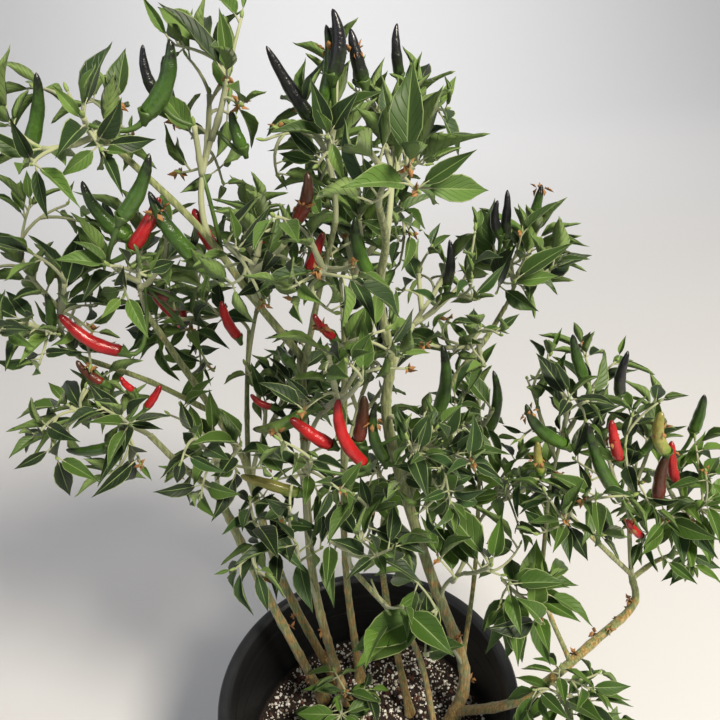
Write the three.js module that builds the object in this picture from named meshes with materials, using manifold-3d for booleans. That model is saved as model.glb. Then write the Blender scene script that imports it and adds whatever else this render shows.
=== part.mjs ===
// A bushy chilli pepper plant in a round black nursery pot.
// Millimetres, +Z up. The origin is the centre of the pot's flat underside, and -Y is the plant's front.
import * as THREE from "three";
import { mergeVertices } from "three/addons/utils/BufferGeometryUtils.js";
import Module from "manifold-3d";

const wasm = await Module();
wasm.setup();

// Driving dimensions of the pot and its fill
const GAP = 0.3;
const POT_HEIGHT = 280;
const RIM_RADIUS = 152.5;
const FOOT_RADIUS = 118;
const POT_WALL = 2.6;
const POT_FLOOR = 3;
const LIP_WIDTH = 10;
const LIP_DEPTH = 18;
const RING_HEIGHTS = [231, 255];
const RING_STEP = 1.2;
const ROUND_SIDES = 36;
const DRAIN_HOLES = 8;
const DRAIN_SIZE = [16, 26, 11];
const MIX_TOP = 192;
const MIX_EDGE_DROP = 4;

// Driving dimensions of the plant's wood
const LIMB_STEP = 50;
const STEM_SIDES = 6;
const BOUGH_SIDES = 5;
const ROOT_FLARE = 0.75;
const FLARE_HEIGHT = 14;
const TIP_GAP = 0.27;
const CLEARANCE = 3.2;

// Driving dimensions of the shoots of a mass. A node is a short stretch of twig with a leaf on each side.
const TWIG = { sides: 3, radius: [1.7, 1.2], clearance: 1.5 };
const MASS_STEM = { share: 0.75, radius: 2.4, fit: 0.92, blend: 0.4, bend: 0.5, middle: 0.3 };
const SHOOT = { lean: [0.8, -0.5], spread: [0.3, 0.12], lowestFork: 0.5, bend: 0.55, sag: 0.12, rise: 0.4 };
const GOLDEN_ANGLE = 2.39996;
const SEEDS = { first: 1000, step: 77 };
const NODE_HEIGHT = 3.2;
const NODES = [
  { share: 0.4, open: 88, size: 1 },
  { share: 0.7, open: 84, size: 1 },
  { share: 1, open: 78, size: 1 },
];
const TOP_NODE = { open: 46, size: 0.8 };
const BUD_LENGTH = 8;

// Driving dimensions of leaves and pods, as shares of their length where they are under 1
const LEAF = { width: 0.44, widest: 0.4, thick: 1.1, lift: 0.04, fold: 0.16, droop: 0.16 };
const LEAF_OPEN_RANGE = 16;
const LEAF_SIZE_RANGE = [0.82, 0.36];
const LEAF_TRIES = [1, 0.78];
const LEAF_ROOT_LENGTH = 8;
const LEAF_SPACING = 4.6;
const POD = { sides: 4, radius: 5.6, full: 44, shoulder: 0.14, waist: 0.66, slim: 0.88, bow: 0.1, neck: 1.9 };
const PEDICEL = { radius: 1.2, bend: 0.6, arch: 0.25, turn: 1.6 };
const POD_CLEARANCE = 1.6;

// Stems rise from the potting mix at foot, [x, y]. Boughs start on another limb at a share of its length.
// Each limb runs through the points that follow, and tapers between the two radii in thick.
const LIMBS = [
  { name: "stem_left", foot: [-53, 48], through: [[-97, 38, 394], [-116, 18, 532]], thick: [5, 3.6] },
  { name: "bough_left_low", on: "stem_left", at: 1,
    through: [[-135, 0, 577], [-146, -20, 623]], thick: [3.2, 2.2] },
  { name: "stem_rear_left", foot: [-38, 68], through: [[-81, 66, 368], [-97, 62, 531]], thick: [4.8, 3.6] },
  { name: "bough_left", on: "stem_rear_left", at: 1,
    through: [[-118, 38, 622], [-136, 10, 706]], thick: [3.2, 2.2] },
  { name: "bough_far_left", on: "bough_left", at: 0.35,
    through: [[-151, 22, 645], [-190, 0, 683]], thick: [2.4, 1.8] },
  { name: "bough_rear_left", on: "stem_rear_left", at: 0.96,
    through: [[-91, 88, 581], [-83, 108, 640]], thick: [2.6, 1.8] },
  { name: "stem_centre", foot: [-27, 44], through: [[-45, 34, 403], [-30, 12, 665]], thick: [5, 3.2] },
  { name: "bough_upper_left", on: "stem_centre", at: 1,
    through: [[-58, -2, 723], [-81, -20, 780], [-121, -37, 842]], thick: [3, 1.9] },
  { name: "bough_front", on: "stem_centre", at: 0.96,
    through: [[-12, -8, 720], [5, -26, 781]], thick: [2.4, 1.8] },
  { name: "stem_back", foot: [-10, 72], through: [[-15, 84, 377], [4, 76, 660]], thick: [4.4, 2.6] },
  { name: "stem_main", foot: [88, 8],
    through: [[102, 16, 272], [65, 16, 430], [34, 8, 593], [38, 2, 662]], thick: [6.5, 3.6] },
  { name: "bough_crown", on: "stem_main", at: 1,
    through: [[31, -10, 722], [36, -24, 764], [32, -42, 794]], thick: [3.4, 2.1] },
  { name: "bough_right", on: "stem_main", at: 0.62,
    through: [[76, 42, 576], [93, 58, 604], [122, 72, 634], [141, 82, 660]], thick: [3.4, 1.9] },
  { name: "stem_rear", foot: [44, 24],
    through: [[32, 42, 288], [24, 84, 350], [28, 112, 400]], thick: [4, 2.8] },
  { name: "stem_front", foot: [70, -6], through: [[50, 0, 335], [-4, -25, 476]], thick: [3.4, 2.2] },
  { name: "bough_slim", on: "stem_main", at: 0.28,
    through: [[115, 44, 381], [120, 62, 495]], thick: [2.6, 1.8] },
  { name: "bough_low", on: "stem_main", at: 0.06,
    through: [[146, -41, 303], [223, -16, 352], [256, -6, 384], [254, 4, 412]], thick: [5, 3] },
  { name: "bough_low_left", on: "bough_low", at: 1,
    through: [[215, -6, 464], [190, -2, 493]], thick: [2.4, 1.9] },
  { name: "bough_low_right", on: "bough_low", at: 0.97,
    through: [[283, 20, 410], [312, 26, 416]], thick: [2.4, 1.8] },
  { name: "shoot_low", on: "bough_low", at: 0.4,
    through: [[170, -4, 406], [169, 6, 495]], thick: [2.4, 1.8] },
];

// Each mass of leaves grows from one stem on a limb and fills an ellipsoid of that centre and reach.
// shoots is how many leafy shoots it forks into, and leaf is their leaf length.
const MASSES = [
  { name: "top_left", on: "bough_upper_left", at: 1,
    centre: [-132, -35, 846], reach: [70, 56, 50], shoots: 3, leaf: 40 },
  { name: "high_left", on: "bough_upper_left", at: 0.62,
    centre: [-66, 4, 850], reach: [53, 60, 74], shoots: 3, leaf: 42 },
  { name: "high_middle", on: "bough_front", at: 1,
    centre: [-1, 8, 836], reach: [52, 58, 62], shoots: 3, leaf: 42 },
  { name: "crown", on: "bough_crown", at: 1,
    centre: [40, -74, 826], reach: [62, 56, 52], shoots: 3, leaf: 48 },
  { name: "high_back", on: "bough_crown", at: 0.55,
    centre: [50, 38, 828], reach: [46, 55, 50], shoots: 3, leaf: 40 },
  { name: "upper_left", on: "bough_upper_left", at: 0.3,
    centre: [-44, -34, 776], reach: [55, 53, 50], shoots: 3, leaf: 42 },
  { name: "centre", on: "bough_front", at: 0.6,
    centre: [-2, -68, 770], reach: [53, 50, 55], shoots: 3, leaf: 40 },
  { name: "inner", on: "stem_back", at: 1,
    centre: [28, 60, 745], reach: [60, 65, 65], shoots: 3, leaf: 44 },
  { name: "left", on: "bough_left", at: 1,
    centre: [-132, -4, 758], reach: [55, 60, 55], shoots: 3, leaf: 42 },
  { name: "far_left", on: "bough_far_left", at: 1,
    centre: [-196, 2, 735], reach: [58, 65, 96], shoots: 4, leaf: 42 },
  { name: "rear_left", on: "bough_rear_left", at: 1,
    centre: [-126, 98, 668], reach: [72, 74, 72], shoots: 3, leaf: 46 },
  { name: "rear_high", on: "bough_rear_left", at: 0.7,
    centre: [-58, 118, 708], reach: [62, 72, 72], shoots: 3, leaf: 46 },
  { name: "right_high", on: "stem_main", at: 0.93,
    centre: [84, 50, 708], reach: [50, 58, 54], shoots: 3, leaf: 42 },
  { name: "right_top", on: "bough_right", at: 1,
    centre: [154, 88, 696], reach: [62, 64, 62], shoots: 4, leaf: 46 },
  { name: "right_inner", on: "bough_right", at: 0.7,
    centre: [96, 28, 652], reach: [58, 62, 50], shoots: 3, leaf: 42 },
  { name: "front", on: "stem_centre", at: 0.8,
    centre: [8, -52, 686], reach: [58, 55, 60], shoots: 3, leaf: 46 },
  { name: "middle_left", on: "stem_left", at: 0.96,
    centre: [-98, -12, 604], reach: [58, 55, 58], shoots: 3, leaf: 44 },
  { name: "inner_left", on: "stem_rear_left", at: 0.9,
    centre: [-52, 60, 604], reach: [53, 62, 58], shoots: 3, leaf: 44 },
  { name: "low_left", on: "bough_left_low", at: 1,
    centre: [-176, -20, 642], reach: [67, 65, 58], shoots: 3, leaf: 44 },
  { name: "front_middle", on: "stem_centre", at: 0.62,
    centre: [-34, -44, 620], reach: [55, 60, 62], shoots: 3, leaf: 44 },
  { name: "middle", on: "stem_main", at: 0.78,
    centre: [62, -34, 598], reach: [58, 60, 62], shoots: 3, leaf: 46 },
  { name: "rear_low", on: "stem_rear", at: 1,
    centre: [38, 114, 464], reach: [74, 74, 74], shoots: 3, leaf: 52 },
  { name: "rear_middle", on: "stem_back", at: 0.7,
    centre: [22, 134, 580], reach: [72, 70, 70], shoots: 3, leaf: 48 },
  { name: "rear_top", on: "stem_back", at: 0.92,
    centre: [2, 144, 692], reach: [70, 67, 70], shoots: 3, leaf: 46 },
  { name: "right_middle", on: "bough_slim", at: 1,
    centre: [118, 68, 560], reach: [58, 65, 70], shoots: 3, leaf: 44 },
  { name: "right_low", on: "bough_slim", at: 0.75,
    centre: [154, 50, 488], reach: [62, 62, 58], shoots: 3, leaf: 48 },
  { name: "low_front_left", on: "stem_centre", at: 0.4,
    centre: [-58, -30, 522], reach: [58, 60, 60], shoots: 3, leaf: 48 },
  { name: "low_front", on: "stem_front", at: 1,
    centre: [2, -50, 532], reach: [60, 58, 62], shoots: 3, leaf: 48 },
  { name: "low_right", on: "stem_main", at: 0.42,
    centre: [100, -22, 470], reach: [65, 65, 62], shoots: 3, leaf: 58 },
  { name: "low_inner", on: "stem_main", at: 0.25,
    centre: [46, -40, 414], reach: [62, 60, 62], shoots: 3, leaf: 60 },
  { name: "low_shoot", on: "shoot_low", at: 0.35,
    centre: [138, -44, 448], reach: [58, 58, 60], shoots: 3, leaf: 56 },
  { name: "shoot_top", on: "shoot_low", at: 1,
    centre: [182, 18, 602], reach: [67, 67, 67], shoots: 3, leaf: 42 },
  { name: "outer_left", on: "bough_low_left", at: 1,
    centre: [180, -22, 534], reach: [55, 62, 53], shoots: 3, leaf: 44 },
  { name: "outer_middle", on: "bough_low", at: 0.99,
    centre: [238, 18, 548], reach: [60, 70, 70], shoots: 3, leaf: 44 },
  { name: "outer_right", on: "bough_low_right", at: 1,
    centre: [294, 24, 490], reach: [65, 74, 89], shoots: 4, leaf: 44 },
  { name: "outer_low", on: "bough_low", at: 0.33,
    centre: [186, -66, 316], reach: [58, 55, 48], shoots: 3, leaf: 50 },
  { name: "basal", on: "stem_centre", at: 0.03,
    centre: [-32, 6, 238], reach: [53, 46, 41], shoots: 3, leaf: 42 },
];

// Pods that show, each from its stalk end to its tip
const PODS = [
  { on: "left", base: [-118, -52, 801], tip: [-95, -52, 836] },
  { on: "left", base: [-131, -10, 774], tip: [-151, -10, 813] },
  { on: "left", base: [-129, -15, 768], tip: [-104, -15, 801] },
  { on: "left", base: [-88, -20, 761], tip: [-109, -20, 806] },
  { on: "left", base: [-152, -16, 694], tip: [-187, -18, 726] },
  { on: "left", base: [-117, 10, 721], tip: [-140, 10, 733] },
  { on: "left", base: [-124, 30, 697], tip: [-136, 30, 716] },
  { on: "top_left", base: [-95, -40, 855], tip: [-75, -40, 892] },
  { on: "top_left", base: [-170, -30, 837], tip: [-153, -30, 879] },
  { on: "high_left", base: [-76, -12, 763], tip: [-85, -12, 791] },
  { on: "high_left", base: [-91, -15, 857], tip: [-96, -15, 888] },
  { on: "high_left", base: [-49, -5, 825], tip: [-53, -5, 848] },
  { on: "high_middle", base: [-5, 10, 835], tip: [-29, 10, 881] },
  { on: "high_middle", base: [10, -20, 866], tip: [12, -20, 900] },
  { on: "high_middle", base: [2, -15, 849], tip: [8, -15, 892] },
  { on: "high_middle", base: [28, 0, 858], tip: [22, 0, 888] },
  { on: "high_back", base: [53, 40, 855], tip: [53, 40, 886] },
  { on: "upper_left", base: [-20, -20, 781], tip: [-10, -20, 812] },
  { on: "centre", base: [-16, -14, 745], tip: [-4, -14, 770] },
  { on: "inner", base: [26, 20, 724], tip: [18, 20, 769] },
  { on: "far_left", base: [-172, -14, 668], tip: [-186, -14, 688] },
  { on: "far_left", base: [-200, -5, 713], tip: [-197, -5, 737] },
  { on: "rear_left", base: [-84, 60, 659], tip: [-93, 60, 692] },
  { on: "rear_left", base: [-140, 112, 668], tip: [-152, 118, 634] },
  { on: "rear_high", base: [-66, 140, 716], tip: [-74, 146, 680] },
  { on: "right_high", base: [86, 50, 698], tip: [88, 50, 735] },
  { on: "right_top", base: [133, 80, 725], tip: [130, 80, 754] },
  { on: "right_top", base: [139, 85, 719], tip: [139, 85, 760] },
  { on: "right_top", base: [166, 108, 716], tip: [172, 114, 754] },
  { on: "front_middle", base: [13, -45, 603], tip: [-2, -45, 660] },
  { on: "front_middle", base: [-10, -35, 614], tip: [-38, -35, 641] },
  { on: "front_middle", base: [-40, -25, 562], tip: [-83, -25, 585] },
  { on: "front", base: [-30, -25, 637], tip: [-68, -25, 627] },
  { on: "front", base: [-2, -20, 695], tip: [-15, -20, 715] },
  { on: "middle", base: [9, -8, 597], tip: [16, -8, 639] },
  { on: "middle", base: [29, -8, 576], tip: [25, -8, 631] },
  { on: "middle", base: [75, 30, 589], tip: [80, 30, 656] },
  { on: "low_left", base: [-147, -10, 642], tip: [-133, -10, 660] },
  { on: "low_left", base: [-180, -20, 615], tip: [-211, -20, 616] },
  { on: "low_left", base: [-155, -5, 654], tip: [-162, -5, 667] },
  { on: "rear_middle", base: [36, 150, 590], tip: [42, 156, 632] },
  { on: "rear_top", base: [10, 168, 700], tip: [22, 172, 660] },
  { on: "right_middle", base: [122, 60, 541], tip: [128, 60, 611] },
  { on: "shoot_top", base: [193, 20, 621], tip: [179, 20, 664] },
  { on: "shoot_top", base: [221, 15, 609], tip: [221, 15, 649] },
  { on: "shoot_top", base: [174, -5, 577], tip: [140, -5, 619] },
  { on: "outer_middle", base: [218, -10, 562], tip: [207, -10, 601] },
  { on: "outer_middle", base: [217, -15, 533], tip: [188, -15, 602] },
  { on: "outer_middle", base: [246, 10, 551], tip: [253, 10, 578] },
  { on: "outer_middle", base: [264, 5, 504], tip: [264, 5, 552] },
  { on: "outer_middle", base: [251, -5, 470], tip: [235, -5, 492] },
  { on: "outer_middle", base: [263, 4, 555], tip: [252, 4, 597] },
  { on: "outer_right", base: [283, 15, 513], tip: [272, 15, 557] },
  { on: "outer_right", base: [303, 40, 547], tip: [305, 40, 586] },
  { on: "inner_left", base: [-59, 20, 615], tip: [-74, 20, 628] },
  { on: "inner_left", base: [-37, 0, 666], tip: [-48, 24, 668] },
  { on: "outer_left", base: [155, -10, 553], tip: [150, -10, 586] },
];

// A repeatable random number source: mulberry32
function randomFrom(seed) {
  let state = seed >>> 0;
  return () => {
    state = (state + 0x6d2b79f5) >>> 0;
    let t = state;
    t = Math.imul(t ^ (t >>> 15), t | 1);
    t ^= t + Math.imul(t ^ (t >>> 7), t | 61);
    return ((t ^ (t >>> 14)) >>> 0) / 4294967296;
  };
}

const point = (p) => new THREE.Vector3(...p);
const UP = new THREE.Vector3(0, 0, 1);

// A closed mesh as a manifold solid, with its faces turned outwards
function solidFrom(positions, triangles) {
  const make = (faces) =>
    new wasm.Manifold(
      new wasm.Mesh({
        numProp: 3,
        vertProperties: Float32Array.from(positions),
        triVerts: Uint32Array.from(faces),
      }),
    );
  const solid = make(triangles);
  if (solid.volume() > 0) return solid;
  return make(triangles.slice().reverse());
}

function solidOf(geometry) {
  geometry.deleteAttribute("normal");
  geometry.deleteAttribute("uv");
  const merged = mergeVertices(geometry, 1e-3);
  return solidFrom(Array.from(merged.attributes.position.array), Array.from(merged.index.array));
}

// The largest closed body of a solid, so that loose scraps and sealed hollows go
function mainBody(solid) {
  const bodies = solid.decompose();
  bodies.sort((a, b) => b.volume() - a.volume());
  return bodies[0];
}

// A ring of corners about a tube's line, or a single corner where its radius is 0
function addRing(mesh, ring, side, sides) {
  if (ring.radius === 0) return [mesh.vertices.push(ring.p) - 1];
  const other = ring.axis.clone().cross(side);
  return Array.from({ length: sides }, (_, k) => {
    const angle = (2 * Math.PI * k) / sides;
    const corner = ring.p.clone().addScaledVector(side, ring.radius * Math.cos(angle));
    return mesh.vertices.push(corner.addScaledVector(other, ring.radius * Math.sin(angle))) - 1;
  });
}

// Side faces from one loop of corners up to the next: quads between equal loops, triangles between others
function bridge(mesh, low, high) {
  const faces = [];
  const next = (loop, i) => loop[(i + 1) % loop.length];
  if (low.length === high.length) {
    low.forEach((corner, k) => faces.push([corner, next(low, k), next(high, k), high[k]]));
  } else {
    let [i, j] = [0, 0];
    while (i < low.length || (j < high.length && high.length > 1)) {
      const climb = high.length > 1 && (j + 1) / high.length < (i + 1) / low.length;
      const [a, b] = [low[i % low.length], high[j % high.length]];
      faces.push(climb ? [a, next(high, j), b] : [a, next(low, i), b]);
      if (climb) j += 1;
      else i += 1;
    }
  }
  mesh.faces.push(...faces);
  return faces;
}

// Grows a tube from a loop of corners through rings, and keeps with each ring the side faces below it
function growTube(mesh, loop, rings, sides) {
  let side = mesh.vertices[loop[0]].clone();
  for (const corner of loop) side.addScaledVector(mesh.vertices[corner], -1 / loop.length);
  let low = loop;
  for (const ring of rings) {
    side = side.clone().addScaledVector(ring.axis, -side.dot(ring.axis)).normalize();
    side.applyAxisAngle(ring.axis, ring.twist ?? 0);
    const high = addRing(mesh, ring, side, sides);
    ring.faces = bridge(mesh, low, high);
    low = high;
  }
  return low;
}

// A closed tube through rings, with a flat cap at each end that has a radius
function tubeMesh(rings, sides) {
  const mesh = { vertices: [], faces: [] };
  const { axis } = rings[0];
  const across = Math.abs(axis.x) < 0.8 ? new THREE.Vector3(1, 0, 0) : new THREE.Vector3(0, 1, 0);
  const side = across.addScaledVector(axis, -across.dot(axis)).normalize();
  const first = addRing(mesh, rings[0], side, sides);
  const last = growTube(mesh, first, rings.slice(1), sides);
  for (let k = 1; k + 1 < first.length; k++) mesh.faces.push([first[0], first[k + 1], first[k]]);
  for (let k = 1; k + 1 < last.length; k++) mesh.faces.push([last[0], last[k], last[k + 1]]);
  return mesh;
}

function meshSolid({ vertices, faces }) {
  const triangles = faces.flatMap((f) => (f.length === 4 ? [f[0], f[1], f[3], f[1], f[2], f[3]] : f));
  return solidFrom(vertices.flatMap((v) => [v.x, v.y, v.z]), triangles);
}

// The pot: one turned wall with a hollow rolled lip, ring steps inside, and drain holes round its foot
function potInnerRadius(z) {
  const wallTop = RIM_RADIUS - LIP_WIDTH;
  const slope = (wallTop - FOOT_RADIUS) / POT_HEIGHT;
  const steps = RING_HEIGHTS.filter((height) => z > height).length;
  return FOOT_RADIUS + slope * z - POT_WALL - RING_STEP * (RING_HEIGHTS.length - steps) * 0.5;
}

function makePot() {
  const wallTop = RIM_RADIUS - LIP_WIDTH;
  const lipFoot = POT_HEIGHT - LIP_DEPTH;
  const profile = [
    [0, 0],
    [FOOT_RADIUS - 3, 0],
    [FOOT_RADIUS, 4],
    [wallTop - 0.5, POT_HEIGHT - 4],
    [RIM_RADIUS - 3, POT_HEIGHT - 4],
    [RIM_RADIUS - 2.4, lipFoot],
    [RIM_RADIUS, lipFoot],
    [RIM_RADIUS, POT_HEIGHT - 3],
    [RIM_RADIUS - 2, POT_HEIGHT - 0.6],
    [RIM_RADIUS - 4.5, POT_HEIGHT],
    [wallTop + 0.5, POT_HEIGHT - 0.6],
    [potInnerRadius(POT_HEIGHT - 4), POT_HEIGHT - 4],
  ];
  for (const height of [...RING_HEIGHTS].reverse()) {
    profile.push([potInnerRadius(height + 0.01), height + 1], [potInnerRadius(height - 0.01), height]);
  }
  profile.push([potInnerRadius(POT_FLOOR), POT_FLOOR], [0, POT_FLOOR]);
  const outline = profile.map(([r, z]) => new THREE.Vector2(r, z));
  let pot = solidOf(new THREE.LatheGeometry(outline, ROUND_SIDES).rotateX(Math.PI / 2));
  for (let k = 0; k < DRAIN_HOLES; k++) {
    const hole = new THREE.BoxGeometry(...DRAIN_SIZE);
    hole.translate(FOOT_RADIUS, 0, DRAIN_SIZE[2] / 2 - 0.5);
    hole.rotateZ((2 * Math.PI * (k + 0.5)) / DRAIN_HOLES);
    pot = pot.subtract(solidOf(hole));
  }
  return pot;
}

// The potting mix fills the pot to MIX_TOP and sinks a little where it meets the wall
function makeMix() {
  const low = POT_FLOOR + GAP;
  const edgeTop = MIX_TOP - MIX_EDGE_DROP;
  const outline = [
    [0, low],
    [potInnerRadius(low) - GAP, low],
    [potInnerRadius(edgeTop) - GAP, edgeTop],
    [potInnerRadius(edgeTop) - 22, MIX_TOP],
    [0, MIX_TOP],
  ].map(([r, z]) => new THREE.Vector2(r, z));
  return solidOf(new THREE.LatheGeometry(outline, ROUND_SIDES).rotateX(Math.PI / 2));
}

// Limbs: the line each one follows, and its radius along it
const limbs = new Map();

function limbRadius(limb, share, fromFoot) {
  const [base, tip] = limb.thick;
  const taper = base + (tip - base) * share;
  return limb.foot ? taper * (1 + ROOT_FLARE * Math.exp(-fromFoot / FLARE_HEIGHT)) : taper;
}

function traceLimb(limb) {
  const start = limb.foot
    ? point([...limb.foot, MIX_TOP + GAP])
    : limbs.get(limb.on).curve.getPoint(limb.at);
  const curve = new THREE.CatmullRomCurve3([start, ...limb.through.map(point)], false, "catmullrom", 0.5);
  const steps = Math.max(3, Math.ceil(curve.getLength() / LIMB_STEP));
  const line = [];
  const radii = [];
  for (let i = 0; i <= steps; i++) {
    const share = (i / steps) ** (limb.foot ? 1.5 : 1);
    const p = curve.getPoint(share);
    line.push(p);
    radii.push(limbRadius(limb, share, p.distanceTo(start)));
  }
  const ending = curve.getTangent(1);
  let heading = limb.foot ? UP : curve.getTangent(0);
  if (limb.at === 1) {
    heading = limbs.get(limb.on).ending;
    line[0].addScaledVector(heading, GAP);
  }
  return { ...limb, curve, line, radii, heading, ending, sides: limb.foot ? STEM_SIDES : BOUGH_SIDES };
}

// A limb's solid, grown outwards by a gap where it is to cut its neighbours clear
function limbSolid({ line, radii, heading, ending, sides }, gap = 0) {
  const last = line.length - 1;
  const rings = line.map((p, i) => {
    let axis = line[Math.min(i + 1, last)].clone().sub(line[Math.max(i - 1, 0)]).normalize();
    if (i === 0) axis = heading;
    if (i === last) axis = ending;
    return { p: p.clone(), axis, radius: radii[i] + gap / Math.cos(Math.PI / sides) };
  });
  if (gap) rings[last].p.addScaledVector(ending, TIP_GAP);
  return meshSolid(tubeMesh(rings, sides));
}

const near = (a, b) => {
  const p = a.boundingBox();
  const q = b.boundingBox();
  return [0, 1, 2].every((i) => p.min[i] < q.max[i] && q.min[i] < p.max[i]);
};

function cutClear(solid, cutters) {
  let cut = solid;
  for (const cutter of cutters) if (near(cut, cutter)) cut = cut.subtract(cutter);
  return mainBody(cut);
}

const cutters = [];
for (const row of LIMBS) {
  const limb = traceLimb(row);
  limb.solid = cutClear(limbSolid(limb), cutters);
  cutters.push(limbSolid(limb, GAP));
  limbs.set(limb.name, limb);
}

// A mass's own stem leaves the limb's tip in line with it, or the limb's side, and stops short of the centre
function traceStem(mass) {
  const limb = limbs.get(mass.on);
  const start = limb.curve.getPoint(mass.at);
  const heading = limb.curve.getTangent(mass.at);
  if (mass.at === 1) start.addScaledVector(heading, GAP);
  const away = point(mass.centre).sub(start);
  const length = away.length() * MASS_STEM.share;
  away.normalize();
  const leaving = heading.clone().lerp(away, MASS_STEM.blend).normalize();
  const bend = start.clone().addScaledVector(leaving, length * MASS_STEM.bend);
  const tip = start.clone().addScaledVector(away, length);
  const curve = new THREE.QuadraticBezierCurve3(start, bend, tip);
  const base = Math.min(limbRadius(limb, mass.at, Infinity) * MASS_STEM.fit, MASS_STEM.radius);
  const line = curve.getPoints(4);
  return { curve, heading, base, line, radii: line.map((_, i) => stemRadius(base, i / 4)) };
}

const stemRadius = (base, share) => THREE.MathUtils.lerp(base, TWIG.radius[0], share);

// The space of a mass: its ellipsoid, cut by a plane towards each neighbour
function reachAlong(mass, direction) {
  const [x, y, z] = mass.reach;
  return 1 / Math.hypot(direction.x / x, direction.y / y, direction.z / z);
}

function planesOf(mass) {
  const centre = point(mass.centre);
  return MASSES.filter((other) => other !== mass).map((other) => {
    const normal = point(other.centre).sub(centre);
    const distance = normal.length();
    normal.normalize();
    const own = reachAlong(mass, normal);
    const share = own / (own + reachAlong(other, normal));
    return { normal, limit: distance * share - GAP };
  });
}

function onOwnSide(mass, p) {
  const from = p.clone().sub(point(mass.centre));
  return mass.planes.every((plane) => from.dot(plane.normal) < plane.limit);
}

function inSpace(mass, p) {
  const from = p.clone().sub(point(mass.centre));
  const [x, y, z] = mass.reach;
  return Math.hypot(from.x / x, from.y / y, from.z / z) < 1 && onOwnSide(mass, p);
}

// Distance from a point to a tapering line, less the line's radius there
function gapTo(p, line, radii) {
  let least = Infinity;
  for (let i = 0; i + 1 < line.length; i++) {
    const span = line[i + 1].clone().sub(line[i]);
    const share = THREE.MathUtils.clamp(p.clone().sub(line[i]).dot(span) / span.lengthSq(), 0, 1);
    const radius = radii[i] + (radii[i + 1] - radii[i]) * share;
    least = Math.min(least, p.distanceTo(line[i].clone().addScaledVector(span, share)) - radius);
  }
  return least;
}

// Leaves keep off the pot's wall and the potting mix as well
function clearOfPot(p) {
  const radius = Math.hypot(p.x, p.y);
  if (p.z < 4) return false;
  if (p.z > POT_HEIGHT + CLEARANCE || radius > RIM_RADIUS + CLEARANCE) return true;
  return radius < potInnerRadius(p.z) - CLEARANCE && p.z > MIX_TOP + CLEARANCE;
}

function clearOfWood(mass, p) {
  for (const limb of limbs.values()) if (gapTo(p, limb.line, limb.radii) < CLEARANCE) return false;
  for (const other of MASSES) {
    if (other !== mass && gapTo(p, other.stem.line, other.stem.radii) < CLEARANCE) return false;
  }
  return clearOfPot(p);
}

// A leaf: a folded, arching blade
function leafPoints({ root, along, normal, length }) {
  const side = normal.clone().cross(along);
  const half = (LEAF.width * length) / 2;
  const at = (share, across, up) =>
    root
      .clone()
      .addScaledVector(along, share * length)
      .addScaledVector(side, across)
      .addScaledVector(normal, up);
  const lift = LEAF.lift * length;
  const edge = lift + LEAF.fold * LEAF.width * length;
  return {
    root,
    left: at(LEAF.widest, -half, edge),
    right: at(LEAF.widest, half, edge),
    top: at(LEAF.widest, 0, lift + LEAF.thick / 2),
    under: at(LEAF.widest, 0, lift - LEAF.thick / 2),
    tip: at(1, 0, -LEAF.droop * length),
  };
}

// Sets a leaf into a side face of a twig, in place of that face, so that its root is part of the twig
function setLeaf(mesh, face, leaf) {
  const [low0, low1, high1, high0 = high1] = face;
  const p = leafPoints(leaf);
  const left = mesh.vertices.push(p.left, p.right, p.top, p.under, p.tip) - 5;
  const [right, top, under, tip] = [left + 1, left + 2, left + 3, left + 4];
  const upper = [[high0, left, top], [high1, top, right], [left, tip, top], [top, tip, right]];
  const lower = [[low0, under, left], [low1, right, under], [left, under, tip], [under, right, tip]];
  const sides = [[low0, low1, under], [high0, low0, left], [low1, high1, right]];
  if (high0 !== high1) upper.push([high0, top, high1]);
  mesh.faces.splice(mesh.faces.indexOf(face), 1, ...upper, ...lower, ...sides);
}

// Points spread over a leaf, to test where it lies
function leafSamples(leaf) {
  const p = leafPoints(leaf);
  const samples = [];
  for (const s of [0.2, 0.4, 0.6, 0.8, 1]) {
    const middle = p.root.clone().lerp(p.top, s);
    const outer = p.top.clone().lerp(p.tip, s);
    samples.push(middle, outer);
    for (const edge of [p.left, p.right]) {
      samples.push(p.root.clone().lerp(edge, s), edge.clone().lerp(p.tip, s));
      samples.push(p.top.clone().lerp(edge, s * 0.6));
    }
  }
  return samples;
}

// The shoots of a mass by its own random numbers. The first carries on from the stem, the others fork off it.
function traceShoots(mass, index) {
  const random = randomFrom(SEEDS.first + SEEDS.step * index);
  const centre = point(mass.centre);
  const phase = random() * 2 * Math.PI;
  return Array.from({ length: mass.shoots }, (_, k) => {
    const turn = phase + k * GOLDEN_ANGLE;
    const lean = Math.asin(THREE.MathUtils.lerp(...SHOOT.lean, (k + 0.5) / mass.shoots));
    const out = point([Math.cos(turn) * Math.cos(lean), Math.sin(turn) * Math.cos(lean), Math.sin(lean)]);
    const spread = SHOOT.spread[0] + SHOOT.spread[1] * random();
    const end = centre.clone().add(out.multiply(point(mass.reach)).multiplyScalar(spread));
    const share = THREE.MathUtils.lerp(1, SHOOT.lowestFork, k / mass.shoots);
    const fork = mass.stem.curve.getPoint(share);
    const bend = fork.clone().lerp(end, SHOOT.bend);
    bend.addScaledVector(UP, -SHOOT.sag * end.distanceTo(fork));
    const curve = new THREE.QuadraticBezierCurve3(fork, bend, end);
    const sizes = Array.from({ length: TWIG.sides * (NODES.length + 1) }, random);
    return { curve, line: curve.getPoints(4), share, twist: random() * 2 * Math.PI, sizes };
  });
}

// A node's two rings, the upper one of which carries the leaves
function nodeRings(p, axis, radius, leaves, twist) {
  const upper = p.clone().addScaledVector(axis, NODE_HEIGHT);
  return [{ p, axis, radius, twist }, { p: upper, axis, radius, leaves }];
}

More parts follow.
